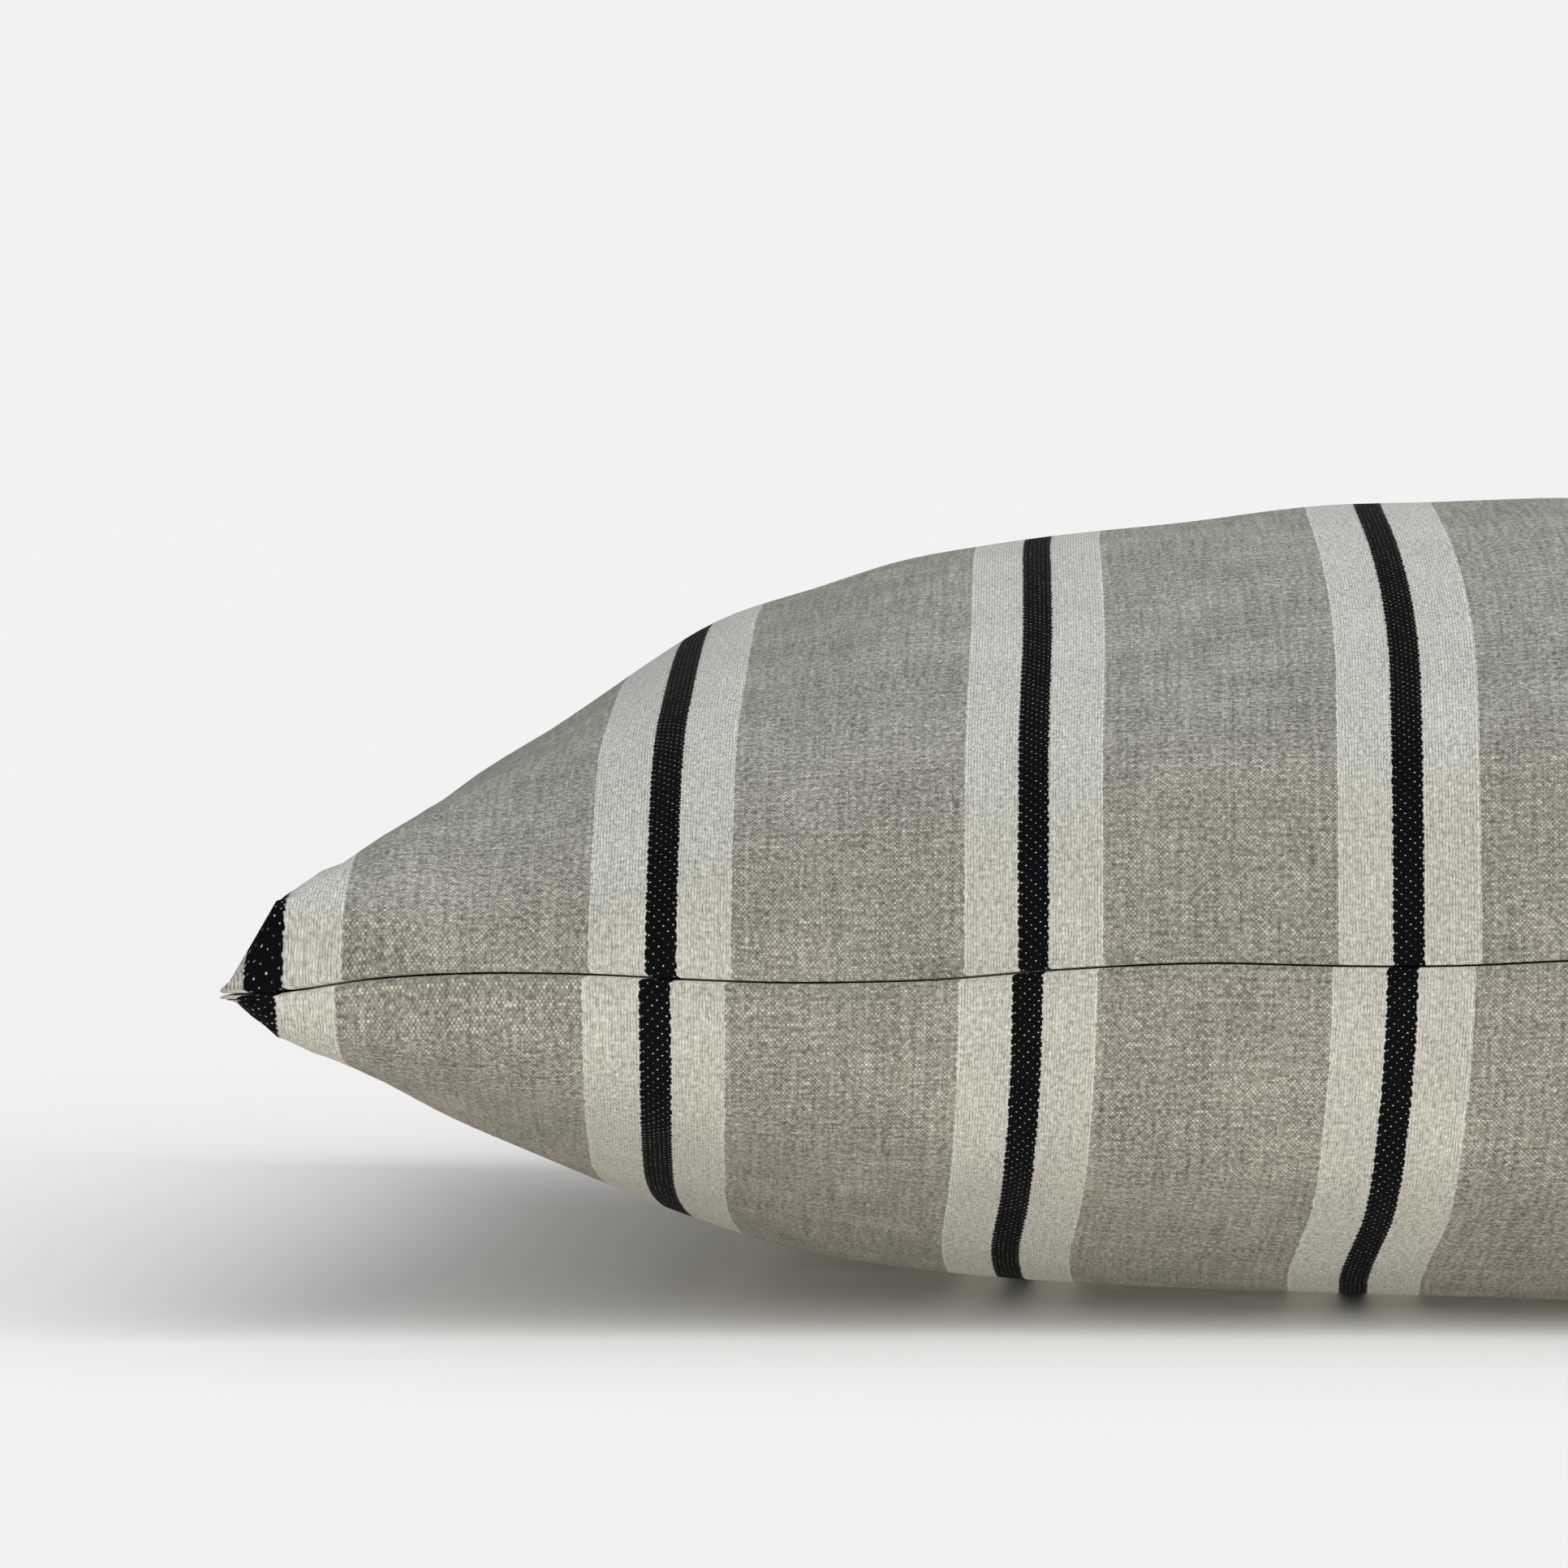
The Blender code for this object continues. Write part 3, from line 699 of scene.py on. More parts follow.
@dataclass(frozen=True)
class Palette:
    """Every material of the pillow."""

    cover: bpy.types.Material
    sewing: bpy.types.Material
    binding: bpy.types.Material
    ticking: bpy.types.Material
    white_thread: bpy.types.Material
    wadding: bpy.types.Material
    tape: bpy.types.Material
    nylon: bpy.types.Material
    metal: bpy.types.Material

    @classmethod
    def mixed(cls, effects: Effects) -> "Palette":
        """Builds every material."""
        white = (0.80, 0.79, 0.76)
        spun = {"rough": (0.6, 0.85), "scale": (9, 3), "relief": 4e-5, "sheen": 0.3}
        finishes = (
            StripedCloth(),
            Fine("Sewing thread", (0.20, 0.19, 0.155), (0.09, 0.085, 0.07), **spun),
            Fine("Binding thread", (0.62, 0.60, 0.55), (0.35, 0.33, 0.3), **spun),
            PlainCloth("White ticking", white, (0.86, 0.85, 0.82), (0.30, 0.32), 6e-5),
            Fine("White thread", white, (0.55, 0.54, 0.5), **spun),
            Fine(
                "Wadding",
                (0.88, 0.88, 0.87),
                (0.62, 0.62, 0.6),
                rough=(0.85, 1.0),
                scale=(0.5, 0.5),
                relief=1.2e-3,
                sheen=0.6,
                clear=0.1,
            ),
            PlainCloth("Zip tape", (0.24, 0.228, 0.19), (0.30, 0.285, 0.24), (0.42, 0.34), 1e-4, False),
            Fine(
                "Nylon",
                (0.33, 0.315, 0.26),
                (0.24, 0.23, 0.19),
                rough=(0.25, 0.42),
                scale=(2, 2),
                relief=8e-6,
                clear=0.15,
            ),
            Fine(
                "Zinc",
                (0.56, 0.55, 0.52),
                (0.40, 0.39, 0.37),
                rough=(0.22, 0.48),
                scale=(0.6, 4),
                relief=6e-6,
                metallic=1.0,
            ),
        )
        return cls(*(finish.material(effects) for finish in finishes))


# ---------------------------------------------------------------------------------------------------
# Form of the pillow
# ---------------------------------------------------------------------------------------------------

Grid = np.ndarray  # (columns, rows, 3): a place for each point of a square net on the cloth


def smooth_step(value: np.ndarray, low: float, high: float) -> np.ndarray:
    """Eases from 0 at low to 1 at high."""
    share = np.clip((value - low) / (high - low), 0.0, 1.0)
    return share * share * (3.0 - 2.0 * share)


@dataclass(frozen=True)
class Half:
    """How one half of the pillow swells from its seam.

    Attributes:
        height: how far its middle would stand from the seam.
        across: how gently it rises from the side seams; 1 is the arc of an ellipse.
        along: the same from the front seam.
        fullness: how much more the corners are filled.
        corner: how near the corners that extra filling stays.
        level: how softly it meets the floor, as a share of its height.
        relief: (x, height) where the stuffing stands a little proud or sinks, both in millimetres.
    """

    height: float
    across: float
    along: float
    fullness: float
    corner: float
    level: float
    relief: Table


UPPER = Half(
    height=0.0830,
    across=0.784,
    along=1.12,
    fullness=0.346,
    corner=3.38,
    level=0.0,
    relief=(
        (-243, 7.5), (-236.6, 5.5), (-230, 0.6), (-224.2, -1.2), (-218.4, -1.1), (-209.4, -3.0),
        (-199.8, -6.3), (-184.5, -5.0), (-166.1, -0.9), (-148.6, -0.85), (-132.9, 1.2), (-117.2, 0.8),
        (-103.1, 0.45), (-89, -0.45), (-74.9, -1.2), (-60.7, -0.9), (-48.2, -0.75), (-30.9, -1.5),
        (-15.2, -1.05), (-4.2, -0.5), (40, 0.0), (90, -1.2), (130, 0.3), (185, -3.0), (215, -0.8), (243, 0.5),
    ),
)
LOWER = Half(
    height=0.0849,
    across=0.937,
    along=1.119,
    fullness=0.333,
    corner=3.38,
    level=0.167,
    relief=((-243, 2.4), (-229, 1.9), (-209, -0.6), (-185, -0.1), (-170, 0.0), (200, 0.0), (243, 1.5)),
)
FRONT_SEAM = (
    (-242.8, -3.4), (-232.5, -3.5), (-224.3, -1.8), (-214.5, -0.5), (-197.6, 0.15), (-179.2, -0.2),
    (-163.6, -1.3), (-145.2, -2.2), (-126.7, -2.0), (-115.3, -1.6), (-103.9, -0.45), (-98.1, 0.0),
    (-82.4, 0.95), (-68.2, 1.4), (-53.9, 0.95), (-36.7, 0.7), (-21.0, 1.0), (-6.5, 1.9), (20, 2.0),
    (60, 0.9), (100, -0.4), (140, 0.6), (180, -0.2), (215, -0.9), (243, -3.0),
)
SMOOTHING = (-6.0, -3.0, 0.0, 3.0, 6.0)  # over which a table's corners are rounded off, in millimetres


def traced(points: Table, x: np.ndarray) -> np.ndarray:
    """A height in metres read off a table, rounded off between its points."""
    along, heights = np.array(points).T
    at = np.asarray(x) * MM
    return sum(np.interp(at + step, along, heights) for step in SMOOTHING) / len(SMOOTHING) / MM


def even_net(half: float, cells: int) -> np.ndarray:
    """The places of an evenly spread square net's points, from -half to half both ways."""
    line = np.linspace(-half, half, cells + 1)
    return np.stack(np.meshgrid(line, line, indexing="ij"), -1)


def distances(path: np.ndarray) -> np.ndarray:
    """How far along a path each of its points lies."""
    steps = np.linalg.norm(np.diff(path, axis=0), axis=1)
    return np.concatenate([[0.0], np.cumsum(steps)])


@dataclass(frozen=True)
class Form:
    """The stuffed pillow before its creases: a bowed square outline, crowned above and level below."""

    corner_half: float
    seam_height: float
    edge_half: float
    edge_pull: float = 0.022
    straight_half: float = 0.1718  # the stretch of the back edge that the zip keeps straight
    swing_power: float = 1.5
    corner_round: float = 0.0005
    tip_from: float = 1.93  # where the rounding of a tip starts: the sum of its two shares
    bare_side: float = 0.012  # shares along the seams that the relief leaves alone
    bare_front: float = 0.035
    gathered: float = 0.5  # the share of the way in over which the gathers open out

    @classmethod
    def from_frame(cls) -> "Form":
        """The cover's form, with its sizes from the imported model."""
        _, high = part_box("cover_upper_panel")
        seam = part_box("seam_thread")
        return cls(high.x, (seam[0].z + seam[1].z) / 2, high.x - cls.edge_pull)

    def outline(self, u: np.ndarray, v: np.ndarray) -> tuple[np.ndarray, np.ndarray]:
        """Plan position of shares u and v, each from -1 to 1, of the way from the middle to an edge."""
        corner = self.corner_half
        bow = self.edge_pull / corner**2
        swing = self.edge_pull / (corner - self.straight_half) ** self.swing_power
        x = u * (self.edge_half + bow * (v * corner) ** 2)
        front = self.edge_half + bow * (u * corner) ** 2
        out = np.maximum(0.0, np.abs(u * corner) - self.straight_half)
        back = self.edge_half + swing * out**self.swing_power
        y = v * np.where(v > 0, back, front)
        tip = np.clip((np.abs(u) + np.abs(v) - self.tip_from) / (2 - self.tip_from), 0.0, 1.0) ** 2
        shrink = 1.0 - tip * self.corner_round / corner
        return x * shrink, y * shrink

    def surface(self, a: np.ndarray, b: np.ndarray, up: bool) -> Grid:
        """Points of the upper or the lower surface, from angles across and along it.

        Args:
            a: angle across, from -pi/2 at the left edge to pi/2 at the right one.
            b: angle along, from the front edge to the back one.
            up: whether it is the upper surface.

        Returns:
            The points.
        """
        half = UPPER if up else LOWER
        u, v = np.sin(a), np.sin(b)
        x, y = self.outline(u, v)
        front = 1.0 - smooth_step(v, -0.2, 0.6)
        rise_a = np.maximum(0.0, np.cos(a)) ** (1.0 + (half.across - 1.0) * front)
        rise_b = np.maximum(0.0, np.cos(b)) ** (1.0 + (half.along - 1.0) * front)
        corners = (u * v) ** 2
        swell = (rise_a * rise_b) ** (1.0 - half.fullness * front * corners**half.corner)
        bare = smooth_step(1 - np.abs(u), 0.0, self.bare_side)
        bare = bare * smooth_step(1 - np.abs(v), 0.0, self.bare_front)
        relief = traced(half.relief, x) * bare
        if up:
            return np.stack([x, y, self.seam_height + half.height * swell + relief], -1)
        ratio = half.height * swell / self.seam_height
        blend = half.level
        eased = 1 - (1 + blend - np.minimum(ratio, 1 + blend)) ** 2 / (4 * blend)
        depth = self.seam_height * np.where(ratio <= 1 - blend, ratio, eased)
        return np.stack([x, y, self.seam_height - depth + relief], -1)

    def net(self, cells: int, up: bool, rounds: int = 4) -> Grid:
        """A square net on the surface, as the threads lie: evenly spaced, and gathered at the seams.

        Args:
            cells: how many cells it has each way.
            up: whether it is on the upper surface.
            rounds: how often rows and columns are spaced again, by turns.

        Returns:
            The net's points.
        """
        plain = [np.arcsin(part) for part in np.moveaxis(even_net(1.0, cells), -1, 0)]
        angles = [part.copy() for part in plain]
        even = np.linspace(0.0, 1.0, cells + 1)
        for turn in range(2 * rounds):
            points = self.surface(*angles, up)
            way = turn % 2
            for k in range(cells + 1):
                pick = (slice(None), k) if way == 0 else (k, slice(None))
                along = distances(points[pick])
                angles[way][pick] = np.interp(even, along / along[-1], angles[way][pick])
            free = smooth_step(1 - np.abs(np.sin(angles[1 - way])), 0.0, self.gathered)
            angles[way] = plain[way] + (angles[way] - plain[way]) * free
        return self.surface(*angles, up)


@dataclass
class Shape:
    """The pillow's two outer surfaces, as nets that share their rim, and their flat coordinates."""

    upper: Grid
    lower: Grid

    @property
    def cells(self) -> int:
        """Cells each way."""
        return len(self.upper) - 1

    @property
    def shares(self) -> np.ndarray:
        """The share of the way out that each point lies across, and along: two arrays."""
        return np.moveaxis(even_net(1.0, self.cells), -1, 0)

    @property
    def rim(self) -> np.ndarray:
        """The seam's points."""
        return self.upper[rim_of(self.cells)]

    @property
    def points(self) -> np.ndarray:
        """Every point once: the upper net, then what lies inside the lower net's rim."""
        return np.concatenate([self.upper.reshape(-1, 3), self.lower[1:-1, 1:-1].reshape(-1, 3)])

    def refined(self, times: int) -> "Shape":
        """The same surfaces on a finer net."""
        return Shape(finer(self.upper, times), finer(self.lower, times))


def finer(grid: Grid, times: int) -> Grid:
    """A net with more cells, along smooth curves through its points."""
    for _ in range(2):
        count = len(grid)
        padded = np.concatenate([2 * grid[:1] - grid[1:2], grid, 2 * grid[-1:] - grid[-2:-1]])
        at = np.arange((count - 1) * times + 1) / times
        cell = np.minimum(at.astype(int), count - 2)
        t = (at - cell)[:, None, None]
        p0, p1, p2, p3 = (padded[cell + k] for k in range(4))
        grid = p1 + 0.5 * t * (
            p2 - p0 + t * (2 * p0 - 5 * p1 + 4 * p2 - p3 + t * (3 * (p1 - p2) + p3 - p0))
        )
        grid = grid.transpose(1, 0, 2)
    return grid


def normals(grid: Grid, up: bool) -> Grid:
    """Outward normals of a net."""
    along_x, along_y = np.gradient(grid, axis=0), np.gradient(grid, axis=1)
    out = np.cross(along_x, along_y)
    out /= np.maximum(np.linalg.norm(out, axis=-1, keepdims=True), 1e-12)
    return out if up else -out


@dataclass
class Stuffing:
    """Fills the cover: a cloth simulation gives the creases, and the form keeps the overall shape."""

    form: Form
    cells: int = 64
    cut_half: float = 0.25  # half a panel's sewn width, flat
    frames: int = 20
    pressure: float = 0.3
    broad_rounds: int = 70  # how broad the moves are that don't count as creases
    deepest: float = 0.004
    lump: float = 0.0012  # how far the highest lump stands out
    lump_waves: int = 14
    ripple: float = 0.0013  # of the side seams
    ripple_length: float = 0.62

    def shape(self) -> Shape:
        """The stuffed shape.

        Returns:
            Both surfaces, on a net twice as fine as the simulated one.
        """
        even = Shape(self.form.net(self.cells, True), self.form.net(self.cells, False))
        even.lower[[0, -1]] = even.upper[[0, -1]]
        even.lower[:, [0, -1]] = even.upper[:, [0, -1]]
        shape = self.creased(even)
        fine = shape.refined(2)
        self.add_lumps(fine)
        self.wave_seam(fine)
        for grid in (fine.upper, fine.lower):
            grid[..., 2] = np.maximum(grid[..., 2], 0.0)
        return fine

    def creased(self, even: Shape) -> Shape:
        """Lets the flat cut cloth settle round the stuffing, and takes its creases from that.

        Args:
            even: the smooth shape that it starts from.

        Returns:
            The smooth shape with the creases on it.
        """
        upper, lower = closed_indices(self.cells)
        faces = closed_faces(self.cells)
        start = even.points
        flat = even_net(self.cut_half, self.cells)
        flat = np.concatenate([flat.reshape(-1, 2), flat[1:-1, 1:-1].reshape(-1, 2)])
        flat = np.concatenate([flat, np.full((len(flat), 1), self.form.seam_height)], 1)
        mesh = bpy.data.meshes.new("stuffing")
        mesh.from_pydata(start.tolist(), [], faces.tolist())
        bag = bpy.data.objects.new("stuffing", mesh)
        bpy.context.scene.collection.objects.link(bag)
        bag.shape_key_add(name="Stuffed")
        bag.shape_key_add(name=CUT).data.foreach_set("co", flat.astype(np.float32).ravel())
        cloth = bag.modifiers.new("Cloth", "CLOTH")
        settings = cloth.settings
        settings.quality = 6
        settings.tension_stiffness = settings.compression_stiffness = 15.0
        settings.shear_stiffness = 5.0
        settings.bending_stiffness = 0.5
        settings.rest_shape_key = mesh.shape_keys.key_blocks[CUT]
        settings.use_pressure = True
        settings.uniform_pressure_force = self.pressure
        settings.effector_weights.gravity = 0.0
        cloth.point_cache.frame_end = self.frames
        for number in range(1, self.frames + 1):
            bpy.context.scene.frame_set(number)
        settled = bag.evaluated_get(bpy.context.evaluated_depsgraph_get()).data
        end = np.zeros(len(start) * 3, np.float32)
        settled.vertices.foreach_get("co", end)
        bpy.context.scene.frame_set(1)
        bpy.data.objects.remove(bag)
        bpy.data.meshes.remove(mesh)
        crease = self.only_creases(end.reshape(-1, 3) - start, faces)
        placed = start + crease * self.freedom(flat)[:, None]
        return Shape(placed[upper], placed[lower])

    def only_creases(self, moved: np.ndarray, faces: np.ndarray) -> np.ndarray:
        """What is left of the moves without their broad part, which would change the overall shape.

        Args:
            moved: how far each vertex moved.
            faces: the faces.

        Returns:
            The moves that make creases, none longer than the deepest.
        """
        pairs = np.concatenate([faces[:, [k, (k + 1) % 4]] for k in range(4)])
        count = np.bincount(pairs[:, 0], minlength=len(moved))[:, None]
        broad = moved.copy()
        for _ in range(self.broad_rounds):
            total = np.stack(
                [np.bincount(pairs[:, 0], broad[pairs[:, 1], k], len(moved)) for k in range(3)], 1
            )
            broad = 0.5 * broad + 0.5 * total / count
        left = moved - broad
        size = np.linalg.norm(left, axis=1, keepdims=True)
        return left * np.minimum(1.0, self.deepest / np.maximum(size, 1e-9))

    def freedom(self, flat: np.ndarray) -> np.ndarray:
        """1 where the cloth may crease, easing to 0 along the zip, which holds its edge straight."""
        x, y = np.abs(flat[:, 0]), flat[:, 1]
        off_end = smooth_step(x, 0.19, 0.225)
        off_edge = smooth_step(self.cut_half - y, 0.006, 0.06)
        at_corner = smooth_step(x + np.abs(y), 0.43, 0.49)
        return (1.0 - (1.0 - off_end) * (1.0 - off_edge)) * (1.0 - 0.85 * at_corner)

    def add_lumps(self, shape: Shape) -> None:
        """Raises and lowers the surfaces a little, as loose filling does.

        Args:
            shape: the shape to change.
        """
        u, v = shape.shares
        flat = np.stack([u.ravel(), v.ravel()], 1) * self.cut_half
        hold = self.freedom(flat).reshape(u.shape) * smooth_step(1 - np.maximum(abs(u), abs(v)), 0, 0.2)
        rng = np.random.default_rng(7)
        for grid, up in ((shape.upper, True), (shape.lower, False)):
            lumps = np.zeros_like(u)
            for _ in range(self.lump_waves):
                turn, phase = rng.uniform(0, 2 * math.pi, 2)
                waves = rng.uniform(2.0, 5.5)
                lumps += np.sin(waves * math.pi * (u * math.cos(turn) + v * math.sin(turn)) + phase) / waves
            lumps *= self.lump / np.abs(lumps).max()
            grid += normals(grid, up) * (lumps * hold)[..., None]

    def wave_seam(self, shape: Shape) -> None:
        """Lets the sewn edges rise and dip, and the corners hang a little.

        Args:
            shape: the shape to change.
        """
        u, v = shape.shares
        corner = FRONT_SEAM[0][1] / MM
        for grid in (shape.upper, shape.lower):
            front = np.exp(-(((v + 1) / 0.25) ** 2))
            lift = traced(FRONT_SEAM, grid[..., 0]) * front
            side = np.exp(-(((1 - np.abs(u)) / 0.16) ** 2)) * (1 - front) * (v < 0.7)
            lift += corner * smooth_step(-v, 0.78, 1.0) * side
            ripple = self.ripple * np.cos(2 * math.pi * (v - 0.35 * np.sign(u)) / self.ripple_length)
            lift += ripple * side * smooth_step(v, -1.0, -0.7) * (1 - smooth_step(v, 0.3, 0.7))
            grid[..., 2] += lift


def quads(index: np.ndarray) -> np.ndarray:
    """The faces of a net of vertex numbers, anticlockwise seen from above."""
    corners = (index[:-1, :-1], index[1:, :-1], index[1:, 1:], index[:-1, 1:])
    return np.stack([part.ravel() for part in corners], 1)


def closed_indices(cells: int) -> tuple[np.ndarray, np.ndarray]:
    """Vertex numbers of the upper and the lower net of a shape, which share their rim."""
    count = cells + 1
    upper = np.arange(count * count).reshape(count, count)
    lower = upper.copy()
    lower[1:-1, 1:-1] = count * count + np.arange((count - 2) ** 2).reshape(count - 2, -1)
    return upper, lower


def closed_faces(cells: int) -> np.ndarray:
    """The faces of both nets, seen from outside."""
    upper, lower = closed_indices(cells)
    return np.concatenate([quads(upper), quads(lower)[:, ::-1]])


# ---------------------------------------------------------------------------------------------------
# Meshes
# ---------------------------------------------------------------------------------------------------


def new_piece(name: str, points: np.ndarray, faces: list, flat: np.ndarray | None = None) -> bpy.types.Object:
    """A mesh object in the scene.

    Args:
        name: the piece's name.
        points: its vertices.
        faces: its faces, anticlockwise seen from outside.
        flat: each vertex's place on the flat cloth, in metres, where it is cut from cloth.

    Returns:
        The object, smooth-shaded.
    """
    mesh = bpy.data.meshes.new(name)
    mesh.from_pydata(np.asarray(points).tolist(), [], [tuple(map(int, face)) for face in faces])
    if flat is not None:
        cut = mesh.attributes.new(CUT, "FLOAT_VECTOR", "POINT")
        values = np.concatenate([flat * MM, np.zeros((len(flat), 1))], 1)
        cut.data.foreach_set("vector", values.astype(np.float32).ravel())
    mesh.shade_smooth()
    piece = bpy.data.objects.new(name, mesh)
    bpy.context.scene.collection.objects.link(piece)
    return piece


def rim_of(cells: int) -> tuple[np.ndarray, np.ndarray]:
    """Indices of a net's rim, anticlockwise seen from above, from the front left corner."""
    up = np.arange(cells)
    down, none, full = cells - up, np.zeros(cells, int), np.full(cells, cells)
    return np.concatenate([up, full, down, none]), np.concatenate([none, up, full, down])


WARP_LIES = (
    (0.0, 34.5, 100.6, 166.0, 231.7, 235.1, 238.5, 243.0),
    (0.0, 34.75, 104.25, 173.75, 240.5, 243.25, 246.0, 250.0),
)  # distances from the middle along the front seam, and across the flat cloth, in millimetres


@dataclass
class Panel:
    """One sewn panel: a sheet of cloth with thickness, its edge rolled in to the seam and turned under."""

    name: str
    up: bool
    thickness: float
    allowance: float
    cut_half: float
    roll: float = 0.0006  # radius of the turned edge
    gap: float = 0.00006  # from the seam plane to the cloth
    slot: float = 0.0  # the same along the zip
    zip_half: float = 0.0
    zip_turn: float = 0.0007  # how far the cloth is turned in along the zip
    mismatch: float = 0.0011  # how far the lower panel's stripes miss the upper one's
    settle: float = 0.0060  # how far the lower panel's middle has slid to the left
    drawn_in: float = 0.012  # the share by which the warp spreads, away from the seams
    rolled: float = 0.004  # how far in the outer surface makes room for the roll
    lean: float = 0.0070  # how far the upper panel's warp leans to the left over the top
    bolt: float = 0.137  # how much further along the bolt the lower panel was cut

    def mesh(self, grid: Grid) -> bpy.types.Object:
        """Builds the panel on its outer surface.

        Args:
            grid: the net of the outer surface.

        Returns:
            The piece.
        """
        cells = len(grid) - 1
        side = 1.0 if self.up else -1.0
        flat = even_net(self.cut_half, cells)
        weave = np.stack([self.warp_at(grid, flat), flat[..., 1]], -1)
        pick = rim_of(cells)
        seam = grid[pick]
        rim_flat = flat[pick]
        rim_weave = weave[pick]
        zipped = self.at_zip(rim_flat)
        gap = self.gap + (self.slot - self.gap) * zipped
        width = self.allowance + (self.zip_turn - self.allowance) * zipped

        def lift(height: np.ndarray | float) -> np.ndarray:
            """An offset away from the seam's plane for each rim point."""
            away = np.zeros_like(seam)
            away[:, 2] = side * height
            return away

        outer = grid.copy()
        near = np.exp(-(((self.cut_half - np.abs(flat).max(-1)) / self.rolled) ** 2))
        outer[..., 2] += side * near * (self.gap + self.roll)
        outer[pick] = seam + lift(gap + self.roll)
        inner = outer - normals(outer, self.up) * self.thickness
        inner[pick] = seam + inwards(seam, self.thickness) + lift(gap + self.thickness)

        rings, ring_flat = [], []

        def add(inset: np.ndarray | float, height: np.ndarray | float, past: np.ndarray | float) -> None:
            """Adds a ring at an inset from the seam, a height above its plane, and past the fold, flat."""
            rings.append(seam + inwards(seam, inset) + lift(height))
            ring_flat.append(rim_weave * (1 + np.broadcast_to(past, len(seam))[:, None] / self.cut_half))

        for angle in np.radians((30.0, 60.0, 90.0)):
            inset = self.roll * (1 - math.cos(angle))
            add(inset, gap + self.roll * (1 - math.sin(angle)), self.roll * angle)
        turned = (0.25, 0.6, 1.0)
        for share in turned:
            add(self.roll + (width - self.roll) * share, gap, self.roll + (width - self.roll) * share)
        for share in reversed(turned[1:]):
            inset = self.thickness + (width + 0.0001 - self.thickness) * share
            add(inset, gap + self.thickness, inset)

        count = (cells + 1) ** 2
        points = np.concatenate([outer.reshape(-1, 3), inner.reshape(-1, 3), *rings])
        place = np.concatenate([weave.reshape(-1, 2)] * 2 + ring_flat)
        place = place + (self.leaned(place) if self.up else self.slide(place))
        index = np.arange(count).reshape(cells + 1, cells + 1)
        loops = [index[pick]]
        loops += [2 * count + k * len(seam) + np.arange(len(seam)) for k in range(len(rings))]
        loops.append(count + index[pick])
        faces = [quads(index), quads(index)[:, ::-1] + count]
        for before, after in zip(loops, loops[1:]):
            follow, past = np.roll(before, -1), np.roll(after, -1)
            faces.append(np.stack([follow, before, after, past], 1))
        faces = np.concatenate(faces)
        if not self.up:
            faces = faces[:, ::-1]
        return new_piece(self.name, points, faces, place)

    def warp_at(self, grid: Grid, flat: np.ndarray) -> np.ndarray:
        """How far across the cloth each point lies.

        The warp runs straight from front to back where the cloth is free, and spreads with the net
        where it turns down to the side seams.

        Args:
            grid: the points.
            flat: their places on an evenly spread net.

        Returns:
            The distances from the middle of the cloth.
        """
        share = np.abs(flat) / self.cut_half
        front = 1.0 + flat[..., 1] / self.cut_half
        straight = np.interp(np.abs(grid[..., 0]) * MM, *WARP_LIES) / MM * np.sign(grid[..., 0])
        inner = smooth_step(1.0 - share[..., 1], 0.0, 0.35)
        straight = straight * (1.0 - self.drawn_in * inner)
        free = smooth_step(1.0 - share[..., 0], 0.03, 0.25)
        free = 1.0 - (1.0 - free) * smooth_step(front, 0.0, 0.30)
        return flat[..., 0] + (straight - flat[..., 0]) * free

    def leaned(self, flat: np.ndarray) -> np.ndarray:
        """How far the upper panel's warp leans to the left over the top."""
        share = 1.0 + flat[:, 1] / self.cut_half
        away = smooth_step(share, 0.3, 0.95) * smooth_step(2.0 - share, 0.0, 0.9)
        across = 0.45 + 0.55 * smooth_step(flat[:, 0], -0.13, -0.02)  # less at the left
        across *= smooth_step(self.cut_half - np.abs(flat[:, 0]), 0.0, 0.05)
        return np.stack([self.lean * away * across, np.zeros(len(flat))], 1)

    def slide(self, flat: np.ndarray) -> np.ndarray:
        """Where the lower panel's weave lies, against a cloth laid straight on the same net."""
        front = self.cut_half + flat[:, 1]
        away = smooth_step(front, 0.0, 0.10) + 0.5 * smooth_step(front, 0.06, 0.11)
        side = np.clip(flat[:, 0] / 0.24, -1.0, 1.0)
        across = np.maximum(0.0, np.cos(side * math.pi / 2)) ** 1.8
        return np.stack([self.mismatch + self.settle * away * across, np.full(len(flat), self.bolt)], 1)

    def at_zip(self, flat: np.ndarray) -> np.ndarray:
        """1 along the zip, easing to 0 past its ends and on the other edges."""
        if not self.zip_half:
            return np.zeros(len(flat))
        on_back = flat[:, 1] > self.cut_half - 1e-6
        ends = 1.0 - smooth_step(np.abs(flat[:, 0]), self.zip_half, self.zip_half + 0.012)
        return ends * on_back


def inwards(seam: np.ndarray, inset: np.ndarray | float) -> np.ndarray:
    """The level offset that moves each point of an outline in, with square corners.

    Args:
        seam: the outline's points.
        inset: how far in.

    Returns:
        An offset for each point.
    """
    tip = np.abs(seam[:, :2]).max(0)
    x, y = np.abs(seam[:, 0]), np.abs(seam[:, 1])
    inset = np.broadcast_to(inset, len(seam))[:, None]
    on_front = np.stack([np.full(len(seam), tip[0]), np.maximum(y, 1e-6)], 1)
    on_side = np.stack([np.maximum(x, 1e-6), np.full(len(seam), tip[1])], 1)
    level = -seam[:, :2] * inset / np.where((y >= x)[:, None], on_front, on_side)
    return np.concatenate([level, np.zeros((len(seam), 1))], 1)


# ---------------------------------------------------------------------------------------------------
# Threads
# ---------------------------------------------------------------------------------------------------


